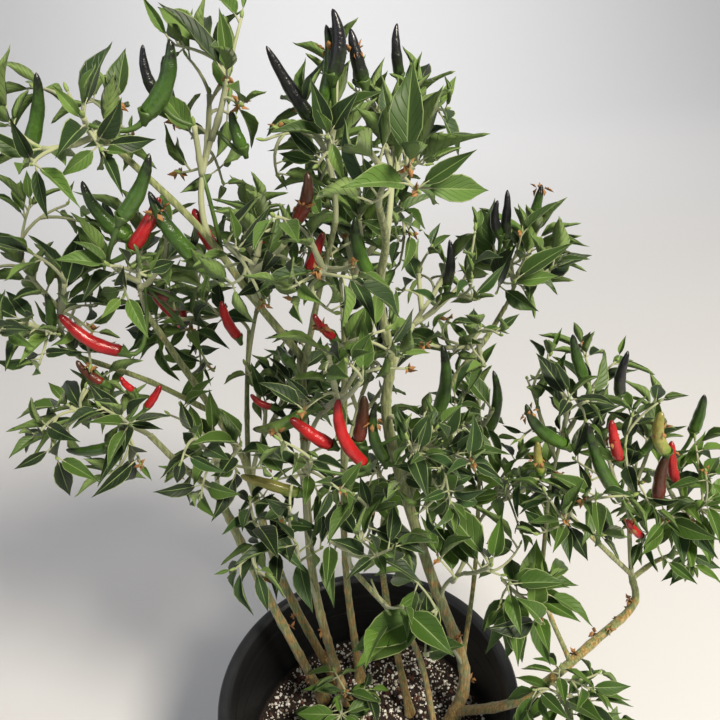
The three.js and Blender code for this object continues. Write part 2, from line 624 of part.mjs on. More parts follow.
// The rings of a shoot: nodes along it, then a top node and a pointed bud
function shootRings({ curve }, twist) {
  const rings = NODES.flatMap((node, i) => {
    const axis = curve.getTangent(node.share);
    if (node.share === 1) axis.addScaledVector(UP, SHOOT.rise).normalize();
    const radius = THREE.MathUtils.lerp(...TWIG.radius, node.share);
    return nodeRings(curve.getPoint(node.share), axis, radius, node, i ? Math.PI / TWIG.sides : twist);
  });
  const { p, axis } = rings[rings.length - 1];
  const bud = p.clone().addScaledVector(axis, BUD_LENGTH);
  rings.push({ p: bud, axis, radius: 0, leaves: TOP_NODE });
  return rings;
}

// The rings of a mass's stem, with a node wherever a shoot forks off
function stemRings(mass) {
  const { curve, heading, base } = mass.stem;
  const ringAt = (share) => ({ p: curve.getPoint(share), axis: curve.getTangent(share), share });
  const middle = { ...ringAt(MASS_STEM.middle), radius: stemRadius(base, MASS_STEM.middle) };
  const forks = mass.growth.slice(1).reverse().flatMap((shoot) => {
    const { p, axis } = ringAt(shoot.share);
    return nodeRings(p, axis, stemRadius(base, shoot.share), { shoot }, 0);
  });
  return [{ p: curve.getPoint(0), axis: heading, radius: base }, middle, ...forks];
}

const centreOf = (mesh, face) => {
  const centre = new THREE.Vector3();
  for (const corner of face) centre.addScaledVector(mesh.vertices[corner], 1 / face.length);
  return centre;
};

// The way that a side face looks, square to its ring's axis
function outOf(mesh, face, ring) {
  const out = centreOf(mesh, face).sub(ring.p);
  return out.addScaledVector(ring.axis, -out.dot(ring.axis)).normalize();
}

// Opens a side face and grows a tube from its edge
function growFrom(mesh, face, rings, sides) {
  mesh.faces.splice(mesh.faces.indexOf(face), 1);
  growTube(mesh, face, rings, sides);
}

// The stem and twigs of a mass as one closed mesh. Each leaf-bearing ring is kept with its shoot.
function growTwigs(mass) {
  const [leader, ...others] = mass.growth;
  leader.rings = shootRings(leader, leader.twist);
  const stem = stemRings(mass);
  mass.mesh = tubeMesh([...stem, ...leader.rings], TWIG.sides);
  for (const shoot of others) {
    const ring = stem.find((candidate) => candidate.leaves?.shoot === shoot);
    const ahead = shoot.curve.getPoint(NODES[0].share).sub(ring.p);
    const looks = (face) => outOf(mass.mesh, face, ring).dot(ahead);
    const face = ring.faces.reduce((best, other) => (looks(other) > looks(best) ? other : best));
    shoot.rings = shootRings(shoot, 0);
    growFrom(mass.mesh, face, shoot.rings, TWIG.sides);
  }
  mass.nodes = mass.growth.flatMap((shoot) => {
    const rings = shoot.rings.filter((ring) => ring.leaves);
    return rings.flatMap((ring, i) =>
      ring.faces.map((face, k) => ({ ring, face, shoot, size: shoot.sizes[i * TWIG.sides + k] })),
    );
  });
}

// A chilli pod on its arching pedicel, which leaves the side face that best looks towards it
function growPod(mass, pod) {
  const base = point(pod.base);
  const axis = point(pod.tip).sub(base);
  const length = axis.length();
  axis.normalize();
  const cost = ({ ring, face }) => {
    const way = base.clone().sub(centreOf(mass.mesh, face));
    const distance = way.length();
    return distance * (PEDICEL.turn - outOf(mass.mesh, face, ring).dot(way.normalize()));
  };
  const place = mass.nodes.reduce((best, node) => (cost(node) < cost(best) ? node : best));
  mass.nodes = mass.nodes.filter((node) => node !== place);
  const from = centreOf(mass.mesh, place.face);
  const bend = from.clone().lerp(base, PEDICEL.bend);
  bend.addScaledVector(axis, -PEDICEL.arch * from.distanceTo(base));
  const side = UP.clone().addScaledVector(axis, -UP.dot(axis)).normalize();
  const radius = POD.radius * Math.min(1, length / POD.full);
  const at = (s) => {
    const p = base.clone().addScaledVector(axis, s * length);
    return p.addScaledVector(side, -4 * POD.bow * s * (1 - s) * length);
  };
  const line = [from, bend, at(0), at(POD.shoulder), at(POD.waist), at(1)];
  const radii = [PEDICEL.radius, PEDICEL.radius, POD.neck, radius, radius * POD.slim, 0];
  const rings = line.map((p, i) => {
    const ahead = line[Math.min(i + 1, line.length - 1)];
    return { p, axis: ahead.clone().sub(line[Math.max(i - 1, 0)]).normalize(), radius: radii[i] };
  });
  growFrom(mass.mesh, place.face, rings.slice(1), POD.sides);
  return { line, radii };
}

const clearOfPods = (p) => allPods.every((pod) => gapTo(p, pod.line, pod.radii) > POD_CLEARANCE);

// A leaf on a side face of a twig, turned to the light
function leafAt(mass, { ring, face, size }, scale) {
  const root = centreOf(mass.mesh, face);
  const out = outOf(mass.mesh, face, ring);
  const open = THREE.MathUtils.degToRad(ring.leaves.open - LEAF_OPEN_RANGE * size);
  const along = ring.axis.clone().multiplyScalar(Math.cos(open)).addScaledVector(out, Math.sin(open));
  const normal = ring.axis.clone().add(UP);
  normal.addScaledVector(along, -normal.dot(along)).normalize();
  const [least, range] = LEAF_SIZE_RANGE;
  const length = mass.leaf * ring.leaves.size * scale * (least + range * size);
  return { root, along, normal, length };
}

// A leaf fits where it keeps to its mass's space, off wood and pods, and apart from other twigs and leaves
function leafFits(mass, leaf, shoot, taken) {
  const samples = leafSamples(leaf);
  if (!samples.every((p) => inSpace(mass, p) && clearOfWood(mass, p) && clearOfPods(p))) return false;
  const outer = samples.filter((p) => p.distanceTo(leaf.root) > LEAF_ROOT_LENGTH);
  const twigs = mass.growth.filter((other) => other !== shoot).map((other) => other.line);
  if (shoot !== mass.growth[0]) twigs.push(mass.stem.line);
  const free = outer.every((p) => twigs.every((line) => gapTo(p, line, line.map(() => TWIG.clearance)) > 0));
  const apart = free && outer.every((p) => taken.every((q) => p.distanceTo(q) > LEAF_SPACING));
  if (apart) taken.push(...outer);
  return apart;
}

// A mass of leaves as one solid, with the leaves that fit
function makeMass(mass) {
  const taken = [];
  for (const node of mass.nodes) {
    const leaves = LEAF_TRIES.map((scale) => leafAt(mass, node, scale));
    const leaf = leaves.find((candidate) => leafFits(mass, candidate, node.shoot, taken));
    if (leaf) setLeaf(mass.mesh, node.face, leaf);
  }
  return cutClear(meshSolid(mass.mesh), cutters);
}

MASSES.forEach((mass, index) => {
  mass.stem = traceStem(mass);
  mass.planes = planesOf(mass);
  mass.growth = traceShoots(mass, index);
  growTwigs(mass);
});
const allPods = PODS.map((pod) => growPod(MASSES.find((mass) => mass.name === pod.on), pod));

// The materials of the plant's parts
const finish = (color, roughness) => new THREE.MeshStandardMaterial({ color, roughness, metalness: 0 });
const POT_BLACK = finish("#24272b", 0.45);
const BARK_MIX = finish("#2c211b", 0.95);
const STEM_GREEN = finish("#7f8352", 0.75);
const LEAF_GREEN = finish("#3f6a33", 0.6);

const plant = new THREE.Group();
function addPart(name, solid, material) {
  const mesh = solid.getMesh();
  const geometry = new THREE.BufferGeometry();
  geometry.setAttribute("position", new THREE.BufferAttribute(mesh.vertProperties, 3));
  geometry.setIndex(new THREE.BufferAttribute(mesh.triVerts, 1));
  geometry.computeVertexNormals();
  const part = new THREE.Mesh(geometry, material.clone());
  part.name = name;
  plant.add(part);
}

addPart("pot", makePot(), POT_BLACK);
addPart("potting_mix", makeMix(), BARK_MIX);
for (const limb of limbs.values()) addPart(limb.name, limb.solid, STEM_GREEN);
for (const mass of MASSES) addPart("leaves_" + mass.name, makeMass(mass), LEAF_GREEN);

export default plant;
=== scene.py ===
import math

import bmesh
import bpy
import numpy as np
from mathutils import Matrix, Vector, noise


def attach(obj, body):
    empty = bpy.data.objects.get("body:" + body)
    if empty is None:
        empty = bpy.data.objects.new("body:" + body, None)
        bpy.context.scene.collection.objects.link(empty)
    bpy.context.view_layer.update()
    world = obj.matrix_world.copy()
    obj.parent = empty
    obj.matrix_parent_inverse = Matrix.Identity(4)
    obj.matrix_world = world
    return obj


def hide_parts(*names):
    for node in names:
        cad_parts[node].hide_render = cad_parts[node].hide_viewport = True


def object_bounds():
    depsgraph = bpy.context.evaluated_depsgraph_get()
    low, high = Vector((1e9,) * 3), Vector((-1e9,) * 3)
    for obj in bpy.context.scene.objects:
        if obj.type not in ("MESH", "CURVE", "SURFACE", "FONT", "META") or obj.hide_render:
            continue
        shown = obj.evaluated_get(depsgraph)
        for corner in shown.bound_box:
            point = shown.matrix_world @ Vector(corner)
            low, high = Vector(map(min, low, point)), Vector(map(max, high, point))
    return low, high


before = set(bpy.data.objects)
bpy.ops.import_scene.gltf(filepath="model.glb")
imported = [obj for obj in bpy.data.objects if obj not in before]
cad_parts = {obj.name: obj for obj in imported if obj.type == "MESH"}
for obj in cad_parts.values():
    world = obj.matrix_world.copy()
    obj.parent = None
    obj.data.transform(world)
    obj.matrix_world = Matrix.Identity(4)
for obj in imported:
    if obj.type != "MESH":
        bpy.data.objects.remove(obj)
cad_box = [list(corner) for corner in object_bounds()]


# Nursery pot
# Injection-moulded polypropylene, black, with grey dust and a painted sheen on top of the rim.
# One thin wall with a rolled lip, two stepped rings inside, and drain holes cut round its foot.
MM = 0.001
POT_HEIGHT = 280
RIM_RADIUS = 152.5
FOOT_RADIUS = 118
POT_WALL = 2.6
POT_FLOOR = 3
FOOT_ROUND = (3, 4)
LIP_WIDTH = 10
LIP_DEPTH = 18
LIP_HOLLOW = 4
LIP_SLACK = 0.5
LIP_SKIRT = (3, 2.4)
LIP_ROLL = [(0, 3), (2, 0.6), (4.5, 0), (9.5, 0.6)]
RING_HEIGHTS = [231, 255]
RING_STEP = 0.6
RING_LEDGE = 1
JUST_OFF = 0.01
POT_STEPS = 144
DRAIN = {"holes": 8, "size": (16, 26, 11), "sink": 0.5, "round": 3}
EDGE_SOFTNESS = 0.7
BEVEL_ANGLE = 25
CREASE_ANGLE = 35
MOULD_RINGS = {"pitch": 6.5, "thick": 0.8}
WELD = 1e-6
SLIVER = 1e-7


def linear(colour):
    """The linear RGBA of an sRGB hex colour."""
    parts = [int(colour[i : i + 2], 16) / 255 for i in (1, 3, 5)]
    return [c / 12.92 if c <= 0.04045 else ((c + 0.055) / 1.055) ** 2.4 for c in parts] + [1]


def add_node(material, kind, inputs=None, **settings):
    """Adds a node. inputs gives a socket an output to link or a value.

    settings name its properties or, written with a capital, its sockets.
    """
    node = material.node_tree.nodes.new("ShaderNode" + kind)
    for name, value in settings.items():
        if name[0].isupper():
            node.inputs[name.replace("_", " ")].default_value = value
        else:
            setattr(node, name, value)
    for socket, source in (inputs or {}).items():
        if isinstance(source, bpy.types.NodeSocket):
            material.node_tree.links.new(source, node.inputs[socket])
        else:
            node.inputs[socket].default_value = source
    return node


def new_material(name, **settings):
    """A material with plain values set on its shader's own sockets."""
    material = bpy.data.materials.new(name)
    material.use_nodes = True
    shader = material.node_tree.nodes["Principled BSDF"]
    for socket, value in settings.items():
        shader.inputs[socket.replace("_", " ")].default_value = value
    return material


def link(material, output, socket):
    """Links an output to a socket of the material's shader."""
    shader = material.node_tree.nodes["Principled BSDF"]
    material.node_tree.links.new(output, shader.inputs[socket])


def object_place(material):
    return add_node(material, "TexCoord").outputs["Object"]


def roughen(material, scale, detail, strength, depth, roughness=0.5, place=None):
    """Presses noise into a surface, scale grains to a metre and depth millimetres high. Returns the noise."""
    place = place or object_place(material)
    grain = add_node(
        material, "TexNoise", {"Vector": place}, Scale=scale, Detail=detail, Roughness=roughness
    ).outputs["Fac"]
    bump = add_node(material, "Bump", {"Height": grain}, Strength=strength, Distance=depth * MM)
    link(material, bump.outputs["Normal"], "Normal")
    return grain


def ramp(material, factor, *stops):
    """A colour ramp over a factor, from pairs of position and hex colour."""
    node = add_node(material, "ValToRGB", {"Fac": factor})
    for spare in node.color_ramp.elements[1:]:
        node.color_ramp.elements.remove(spare)
    for position, colour in stops:
        stop = node.color_ramp.elements.new(position)
        stop.color = linear(colour)
    node.color_ramp.elements.remove(node.color_ramp.elements[0])
    return node.outputs["Color"]


def add_piece(name, mesh, materials, nodes=()):
    """Puts a finished mesh in the scene as a piece of the plant that stands for the nodes."""
    piece = bpy.data.objects.new(name, mesh)
    bpy.context.collection.objects.link(piece)
    for material in materials:
        mesh.materials.append(material)
    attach(piece, "root")
    if nodes:
        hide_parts(*nodes)
    return piece


def turn_profile(outline, steps):
    """A bmesh spun from an outline of (radius, height) round the Z axis, with its poles closed."""
    bm = bmesh.new()
    corners = [bm.verts.new((r * MM, 0, z * MM)) for r, z in outline]
    edges = [bm.edges.new(pair) for pair in zip(corners, corners[1:])]
    bmesh.ops.spin(
        bm, geom=corners + edges, angle=2 * math.pi, steps=steps, use_merge=True,
        axis=(0, 0, 1), cent=(0, 0, 0),
    )
    bmesh.ops.remove_doubles(bm, verts=bm.verts, dist=WELD)
    bmesh.ops.dissolve_degenerate(bm, edges=bm.edges, dist=SLIVER)
    bmesh.ops.recalc_face_normals(bm, faces=bm.faces)
    return bm


def to_mesh(bm, name):
    mesh = bpy.data.meshes.new(name)
    for face in bm.faces:
        face.smooth = True
    bm.to_mesh(mesh)
    bm.free()
    return mesh


def pot_inner_radius(z):
    """The wall's inner face leans out and steps in below each ring."""
    slope = (RIM_RADIUS - LIP_WIDTH - FOOT_RADIUS) / POT_HEIGHT
    steps_above = sum(z <= height for height in RING_HEIGHTS)
    return FOOT_RADIUS + slope * z - POT_WALL - RING_STEP * steps_above


def pot_outline():
    wall_top = RIM_RADIUS - LIP_WIDTH
    lip_foot = POT_HEIGHT - LIP_DEPTH
    hollow_top = POT_HEIGHT - LIP_HOLLOW
    outline = [
        (0, 0),
        (FOOT_RADIUS - FOOT_ROUND[0], 0),
        (FOOT_RADIUS, FOOT_ROUND[1]),
        (wall_top - LIP_SLACK, hollow_top),
        (RIM_RADIUS - LIP_SKIRT[0], hollow_top),
        (RIM_RADIUS - LIP_SKIRT[1], lip_foot),
        (RIM_RADIUS, lip_foot),
    ]
    outline += [(RIM_RADIUS - inward, POT_HEIGHT - down) for inward, down in LIP_ROLL]
    outline.append((pot_inner_radius(hollow_top), hollow_top))
    for height in reversed(RING_HEIGHTS):
        outline.append((pot_inner_radius(height + JUST_OFF), height + RING_LEDGE))
        outline.append((pot_inner_radius(height - JUST_OFF), height))
    return outline + [(pot_inner_radius(POT_FLOOR), POT_FLOOR), (0, POT_FLOOR)]


def soften(bm, edges, width, segments):
    """Bevels edges by a width in millimetres."""
    bmesh.ops.bevel(
        bm, geom=edges, offset=width * MM, offset_type="OFFSET", segments=segments, profile=0.5,
        affect="EDGES", material=-1, clamp_overlap=True,
    )


bm = turn_profile(pot_outline(), POT_STEPS)
sharp = [e for e in bm.edges if e.is_manifold and e.calc_face_angle(0) > math.radians(BEVEL_ANGLE)]
soften(bm, sharp, EDGE_SOFTNESS, 2)
pot_mesh = to_mesh(bm, "pot_wall")

bm = bmesh.new()
for k in range(DRAIN["holes"]):
    turn = Matrix.Rotation(2 * math.pi * (k + 0.5) / DRAIN["holes"], 4, "Z")
    place = Matrix.Translation((FOOT_RADIUS * MM, 0, (DRAIN["size"][2] / 2 - DRAIN["sink"]) * MM))
    size = Matrix.Diagonal([s * MM for s in DRAIN["size"]] + [1])
    bmesh.ops.create_cube(bm, size=1, matrix=turn @ place @ size)
upright = [e for e in bm.edges if abs(e.verts[0].co.z - e.verts[1].co.z) > WELD]
soften(bm, upright, DRAIN["round"], 3)
cutter = bpy.data.objects.new("drain_cutter", to_mesh(bm, "drain_cutter"))
bpy.context.collection.objects.link(cutter)

# Black polypropylene: a satin skin that is dusty grey with a painted sheen on top of the rim and nearly
# black inside, where the mould has left fine pale rings down the wall.
pot_black = new_material("black_polypropylene", Roughness=0.42, IOR=1.49)
place = object_place(pot_black)
height = add_node(pot_black, "SeparateXYZ", {"Vector": place}).outputs["Z"]
dust = add_node(pot_black, "TexNoise", {"Vector": place}, Scale=38.0, Detail=6.0, Roughness=0.65)
# Dust and painted sheen: the top of the rim is painted paler grey by its height, broken up by the dust noise.
rim_dust_and_sheen = add_node(
    pot_black, "MapRange", {"Value": height},
    From_Min=(POT_HEIGHT - LIP_DEPTH) * MM, From_Max=(POT_HEIGHT + 1) * MM, To_Max=0.75,
)
mixed = add_node(
    pot_black, "Math", {0: dust.outputs["Fac"], 1: rim_dust_and_sheen.outputs["Result"], 2: -0.08},
    operation="MULTIPLY_ADD",
)
surface = add_node(pot_black, "TexCoord").outputs["Normal"]
facing = add_node(pot_black, "VectorMath", {0: place, 1: surface}, operation="DOT_PRODUCT")
inside = add_node(pot_black, "MapRange", {"Value": facing.outputs["Value"]}, From_Min=-0.06, From_Max=-0.1)
pitch = add_node(pot_black, "Math", {0: height, 1: MOULD_RINGS["pitch"] * MM}, operation="PINGPONG")
ringed = add_node(
    pot_black, "MapRange", {"Value": pitch.outputs["Value"]},
    From_Min=(MOULD_RINGS["pitch"] - MOULD_RINGS["thick"]) * MM, From_Max=MOULD_RINGS["pitch"] * MM,
    To_Max=0.5,
)
rings = add_node(
    pot_black, "Math", {0: ringed.outputs["Result"], 1: inside.outputs["Result"], 2: mixed.outputs["Value"]},
    operation="MULTIPLY_ADD",
)
pot_colour = ramp(pot_black, rings.outputs["Value"], (0.0, "#141517"), (0.45, "#26282b"), (1.0, "#4a4e54"))
link(pot_black, pot_colour, "Base Color")
roughen(pot_black, scale=420, detail=3, strength=0.18, depth=0.4)
pot = add_piece("pot_shell", pot_mesh, [pot_black], ["pot"])

holes = pot.modifiers.new("holes", "BOOLEAN")
holes.object = cutter
holes.solver = "EXACT"
with bpy.context.temp_override(object=pot, active_object=pot, selected_objects=[pot]):
    bpy.ops.object.modifier_apply(modifier=holes.name)
bpy.data.objects.remove(cutter)
pot.data.set_sharp_from_angle(angle=math.radians(CREASE_ANGLE))


# Potting mix
# Damp peat and composted bark, lumpy where it was watered and sunk a little at the wall.
# It is one turned body whose top is raised and lowered by noise.
GAP = 0.3
MIX_TOP = 192
MIX_EDGE_DROP = 4
MIX_RINGS = 44
MIX_STEPS = 132
LUMP_HEIGHT = 3.2
LUMP_WIDTH = 21
CRUMB_HEIGHT = 1.3
CRUMB_WIDTH = 5
CRUMB_SLICE = 40
CALM_NEAR_WALL = 8
DROP_NEAR_WALL = 6


def mix_height(x, y):
    """The height of the mix's top at a place, all in millimetres."""
    out = math.hypot(x, y) / (pot_inner_radius(MIX_TOP) - GAP)
    lumps = noise.noise(Vector((x, y, 0)) / LUMP_WIDTH) * LUMP_HEIGHT
    crumbs = noise.noise(Vector((x, y, CRUMB_SLICE)) / CRUMB_WIDTH) * CRUMB_HEIGHT
    raised = (lumps + crumbs) * (1 - out**CALM_NEAR_WALL)
    return MIX_TOP + raised - MIX_EDGE_DROP * out**DROP_NEAR_WALL


mix_low = POT_FLOOR + GAP
mix_edge = MIX_TOP - MIX_EDGE_DROP
outline = [(0, mix_low), (pot_inner_radius(mix_low) - GAP, mix_low)]
outline += [
    ((pot_inner_radius(mix_edge) - GAP) * (1 - k / MIX_RINGS), mix_edge) for k in range(MIX_RINGS + 1)
]
bm = turn_profile(outline, MIX_STEPS)
for vert in bm.verts:
    if vert.co.z > (mix_edge - 1) * MM:
        vert.co.z = mix_height(vert.co.x / MM, vert.co.y / MM) * MM

# Composted bark and peat: dark brown and matt, with painted shade turning the hollows between the crumbs near
# black.
mix_brown = new_material("peat_and_bark", Roughness=0.92)
crumbs = roughen(mix_brown, scale=260, detail=8, strength=0.9, depth=2, roughness=0.7)
mix_colour_and_hollow_shade = ramp(mix_brown, crumbs, (0.3, "#0f0b09"), (0.5, "#241a15"), (0.62, "#3a281f"), (0.78, "#5b4130"))
link(mix_brown, mix_colour_and_hollow_shade, "Base Color")
add_piece("mix_body", to_mesh(bm, "mix_body"), [mix_brown], ["potting_mix"])


# Perlite and bark chips
# White expanded perlite and brown bark fines, tumbled together and left proud of the peat.
# Each grain is a squashed, turned copy of one of a few rough stones.
PERLITE = {"count": 3600, "size": (0.8, 2.5), "flat": (0.6, 1.0)}
CHIPS = {"count": 1700, "size": (1.2, 4.6), "flat": (0.25, 0.6)}
STONES = {"kinds": 6, "rough": 0.45, "lumps": 1.7}
CLEAR_OF_FOOT = 8
CLEAR_OF_WALL = 6
PROUD = 0.35
STEM_FEET = {
    "stem_left": (-53, 48), "stem_rear_left": (-38, 68), "stem_centre": (-27, 44), "stem_back": (-10, 72),
    "stem_main": (88, 8), "stem_rear": (44, 24), "stem_front": (70, -6),
}


def rough_stone(seed):
    """Corners and faces of a small ball with its surface pushed in and out."""
    bm = bmesh.new()
    bmesh.ops.create_icosphere(bm, subdivisions=1, radius=1)
    for vert in bm.verts:
        vert.co *= 1 + STONES["rough"] * noise.noise(vert.co * STONES["lumps"] + Vector((seed, 0, 0)))
    corners = np.array([vert.co for vert in bm.verts])
    faces = np.array([[vert.index for vert in face.verts] for face in bm.faces])
    bm.free()
    return corners, faces


def random_turns(count, dice):
    """Random rotations, as an array of 3 by 3 matrices."""
    q = dice.normal(size=(count, 4))
    a, b, c, d = (q / np.linalg.norm(q, axis=1)[:, None]).T
    return np.array([
        [1 - 2 * (c * c + d * d), 2 * (b * c - a * d), 2 * (b * d + a * c)],
        [2 * (b * c + a * d), 1 - 2 * (b * b + d * d), 2 * (c * d - a * b)],
        [2 * (b * d - a * c), 2 * (c * d + a * b), 1 - 2 * (b * b + c * c)],
    ]).transpose(2, 0, 1)


class Joined:
    """Corners, faces, slots and map places of many small shapes that become one mesh."""

    def __init__(self):
        self.corners = []
        self.loops = []
        self.sizes = []
        self.slots = []
        self.places = []
        self.count = 0

    def add(self, corners, faces, slots=0, places=None):
        """Adds a shape in millimetres. faces is a list of arrays, each of faces with one number of sides."""
        slots = [slots] * len(faces) if np.isscalar(slots) else slots
        for k, rows in enumerate(faces):
            self.loops.append((rows + self.count).ravel())
            self.sizes.append(np.full(len(rows), rows.shape[1]))
            self.slots.append(np.broadcast_to(slots[k], len(rows)))
            if places is not None:
                self.places.append(places[rows].reshape(-1, 2))
        self.corners.append(corners)
        self.count += len(corners)

    def mesh(self, name):
        corners = np.concatenate(self.corners) * MM
        loops = np.concatenate(self.loops)
        sizes = np.concatenate(self.sizes)
        mesh = bpy.data.meshes.new(name)
        mesh.vertices.add(len(corners))
        mesh.vertices.foreach_set("co", corners.ravel())
        mesh.loops.add(len(loops))
        mesh.loops.foreach_set("vertex_index", loops)
        mesh.polygons.add(len(sizes))
        mesh.polygons.foreach_set("loop_start", np.concatenate([[0], np.cumsum(sizes)[:-1]]))
        mesh.polygons.foreach_set("material_index", np.concatenate(self.slots))
        if self.places:
            layer = mesh.uv_layers.new(name="along")
            layer.uv.foreach_set("vector", np.concatenate(self.places).ravel())
        mesh.update(calc_edges=True)
        mesh.shade_smooth()
        return mesh


def scatter_grains(kind, dice):
    """Grains over the top of the mix, clear of the stems' feet and the wall."""
    grains = Joined()
    stones = [rough_stone(seed) for seed in range(STONES["kinds"])]
    wall = pot_inner_radius(MIX_TOP) - CLEAR_OF_WALL
    smallest, largest = kind["size"]
    for turn in random_turns(kind["count"], dice):
        radius = wall * math.sqrt(dice.random())
        angle = 2 * math.pi * dice.random()
        x, y = radius * math.cos(angle), radius * math.sin(angle)
        if min(math.dist((x, y), foot) for foot in STEM_FEET.values()) < CLEAR_OF_FOOT:
            continue
        size = smallest + (largest - smallest) * dice.random() ** 2
        squash = np.array([1, dice.uniform(*kind["flat"]), dice.uniform(*kind["flat"])]) * size
        corners, faces = stones[dice.integers(len(stones))]
        shape = (corners * squash) @ turn.T
        grains.add(shape + [x, y, mix_height(x, y) + PROUD * size], [faces], dice.integers(2))
    return grains


# Expanded perlite: chalky white glass foam, dusted by the peat. Bark fines: matt red-brown and dark wood.
perlite_white = new_material("expanded_perlite", Roughness=0.85, Base_Color=linear("#ebe9e2"))
perlite_dusty = new_material("dusty_perlite", Roughness=0.9, Base_Color=linear("#bdb6a9"))
chip_red = new_material("pine_bark_chip", Roughness=0.85, Base_Color=linear("#57372a"))
chip_dark = new_material("dark_bark_chip", Roughness=0.9, Base_Color=linear("#2b1d17"))
for material in (perlite_white, perlite_dusty, chip_red, chip_dark):
    roughen(material, scale=1400, detail=2, strength=0.6, depth=0.4)
dice = np.random.default_rng(seed=5)
perlite = scatter_grains(PERLITE, dice).mesh("perlite")
add_piece("perlite", perlite, [perlite_white, perlite_dusty])
chips = scatter_grains(CHIPS, dice).mesh("bark_chips")
add_piece("bark_chips", chips, [chip_red, chip_dark])


# Stems and boughs
# Green wood that turns corky and tan near the mix, with ridges along it and a swelling at each old node.
# Stems rise from their feet in the mix. Boughs start on another limb at a share of its length.
ROOT_FLARE = {"swell": 0.75, "height": 14, "sink": 2.5}
RING_PITCH = 3.5
FEWEST_RINGS = 6
LIMB_SIDES = 16
RIDGES = {"count": 5, "depth": 0.045, "twist": 0.02}
KNOTS = {"pitch": 46, "height": 0.13, "half": 4.5, "shift": 13}
BARK_LUMPS = {"height": 0.055, "round": 2.2, "long": 11, "shift": 5}
LENGTH_STEPS = 59
FIRST_COLOUR, SECOND_COLOUR, MIXED_COLOUR = 6, 7, 2

# Each limb's name, what it stands on and at what share, its radius at each end, and the places it passes
LIMBS = [
    ("stem_left", "mix", 0, (5, 3.6), [(-97, 38, 394), (-116, 18, 532)]),
    ("bough_left_low", "stem_left", 1, (3.2, 2.2), [(-135, 0, 577), (-146, -20, 623)]),
    ("stem_rear_left", "mix", 0, (4.8, 3.6), [(-81, 66, 368), (-97, 62, 531)]),
    ("bough_left", "stem_rear_left", 1, (3.2, 2.2), [(-118, 38, 622), (-136, 10, 706)]),
    ("bough_far_left", "bough_left", 0.35, (2.4, 1.8), [(-151, 22, 645), (-190, 0, 683)]),
    ("bough_rear_left", "stem_rear_left", 0.96, (2.6, 1.8), [(-91, 88, 581), (-83, 108, 640)]),
    ("stem_centre", "mix", 0, (5, 3.2), [(-45, 34, 403), (-30, 12, 665)]),
    ("bough_upper_left", "stem_centre", 1, (3, 1.9), [(-58, -2, 723), (-81, -20, 780), (-121, -37, 842)]),
    ("bough_front", "stem_centre", 0.96, (2.4, 1.8), [(-12, -8, 720), (5, -26, 781)]),
    ("stem_back", "mix", 0, (4.4, 2.6), [(-15, 84, 377), (4, 76, 660)]),
    ("stem_main", "mix", 0, (6.5, 3.6), [(102, 16, 272), (65, 16, 430), (34, 8, 593), (38, 2, 662)]),
    ("bough_crown", "stem_main", 1, (3.4, 2.1), [(31, -10, 722), (36, -24, 764), (32, -42, 794)]),
    ("bough_right", "stem_main", 0.62, (3.4, 1.9),
     [(76, 42, 576), (93, 58, 604), (122, 72, 634), (141, 82, 660)]),
    ("stem_rear", "mix", 0, (4, 2.8), [(32, 42, 288), (24, 84, 350), (28, 112, 400)]),
    ("stem_front", "mix", 0, (3.4, 2.2), [(50, 0, 335), (-4, -25, 476)]),
    ("bough_slim", "stem_main", 0.28, (2.6, 1.8), [(115, 44, 381), (120, 62, 495)]),
    ("bough_low", "stem_main", 0.06, (5, 3),
     [(146, -41, 303), (223, -16, 352), (256, -6, 384), (254, 4, 412)]),
    ("bough_low_left", "bough_low", 1, (2.4, 1.9), [(215, -6, 464), (190, -2, 493)]),
    ("bough_low_right", "bough_low", 0.97, (2.4, 1.8), [(283, 20, 410), (312, 26, 416)]),
    ("shoot_low", "bough_low", 0.4, (2.4, 1.8), [(170, -4, 406), (169, 6, 495)]),
]
UP = np.array([0.0, 0.0, 1.0])
NEAR_X = 0.8


def unit(v):
    return v / (np.linalg.norm(v) or 1)


def square_to(v, axis):
    """The part of v that is square to an axis, as a unit vector."""
    return unit(v - axis * np.dot(v, axis))


def spline(points):
    """A smooth curve through points, as a function of the share of its way."""
    points = np.array(points, float)
    knots = np.vstack([2 * points[0] - points[1], points, 2 * points[-1] - points[-2]])

    def at(share):
        spans = len(points) - 1
        k = min(int(share * spans), spans - 1)
        t = share * spans - k
        before, start, end, after = knots[k : k + 4]
        leaving, arriving = (end - before) / 2, (after - start) / 2
        square = 3 * (end - start) - 2 * leaving - arriving
        cube = 2 * (start - end) + leaving + arriving
        return start + t * (leaving + t * (square + t * cube))

    return at


def bent(start, bend, end):
    """A curve from start to end that leaves and arrives towards a bend."""
    return lambda t: (1 - t) ** 2 * start + 2 * t * (1 - t) * bend + t * t * end


def line_of(curve, steps):
    return np.array([curve(t) for t in np.linspace(0, 1, steps + 1)])


def heading(curve, share, step=1e-4):
    """The way a curve runs at a share of its length."""
    return unit(curve(min(share + step, 1)) - curve(max(share - step, 0)))


def across_from(way):
    """The X axis, or the Y axis where X lies too near a direction."""
    return np.array([1.0, 0, 0]) if abs(way[0]) < NEAR_X else np.array([0, 1.0, 0])


def frames_along(points):
    """For each point of a line, its direction and a side that turns with it as little as it can."""
    ways = np.gradient(points, axis=0)
    ways /= np.linalg.norm(ways, axis=1)[:, None]
    side = across_from(ways[0])
    sides = []
    for way in ways:
        side = square_to(side, way)
        sides.append(side)
    return ways, np.array(sides)


limbs = {}
for name, on, at, thick, through in LIMBS:
    start = (*STEM_FEET[name], MIX_TOP + GAP) if on == "mix" else limbs[on]["curve"](at)
    curve = spline([start, *through])
    length = np.linalg.norm(np.diff(line_of(curve, LENGTH_STEPS), axis=0), axis=1).sum()
    limbs[name] = {"curve": curve, "thick": thick, "length": length, "rooted": on == "mix"}


def limb_radius(limb, share, from_foot=math.inf):
    base, tip = limb["thick"]
    flare = ROOT_FLARE["swell"] * math.exp(-from_foot / ROOT_FLARE["height"]) if limb["rooted"] else 0
    return (base + (tip - base) * share) * (1 + flare)


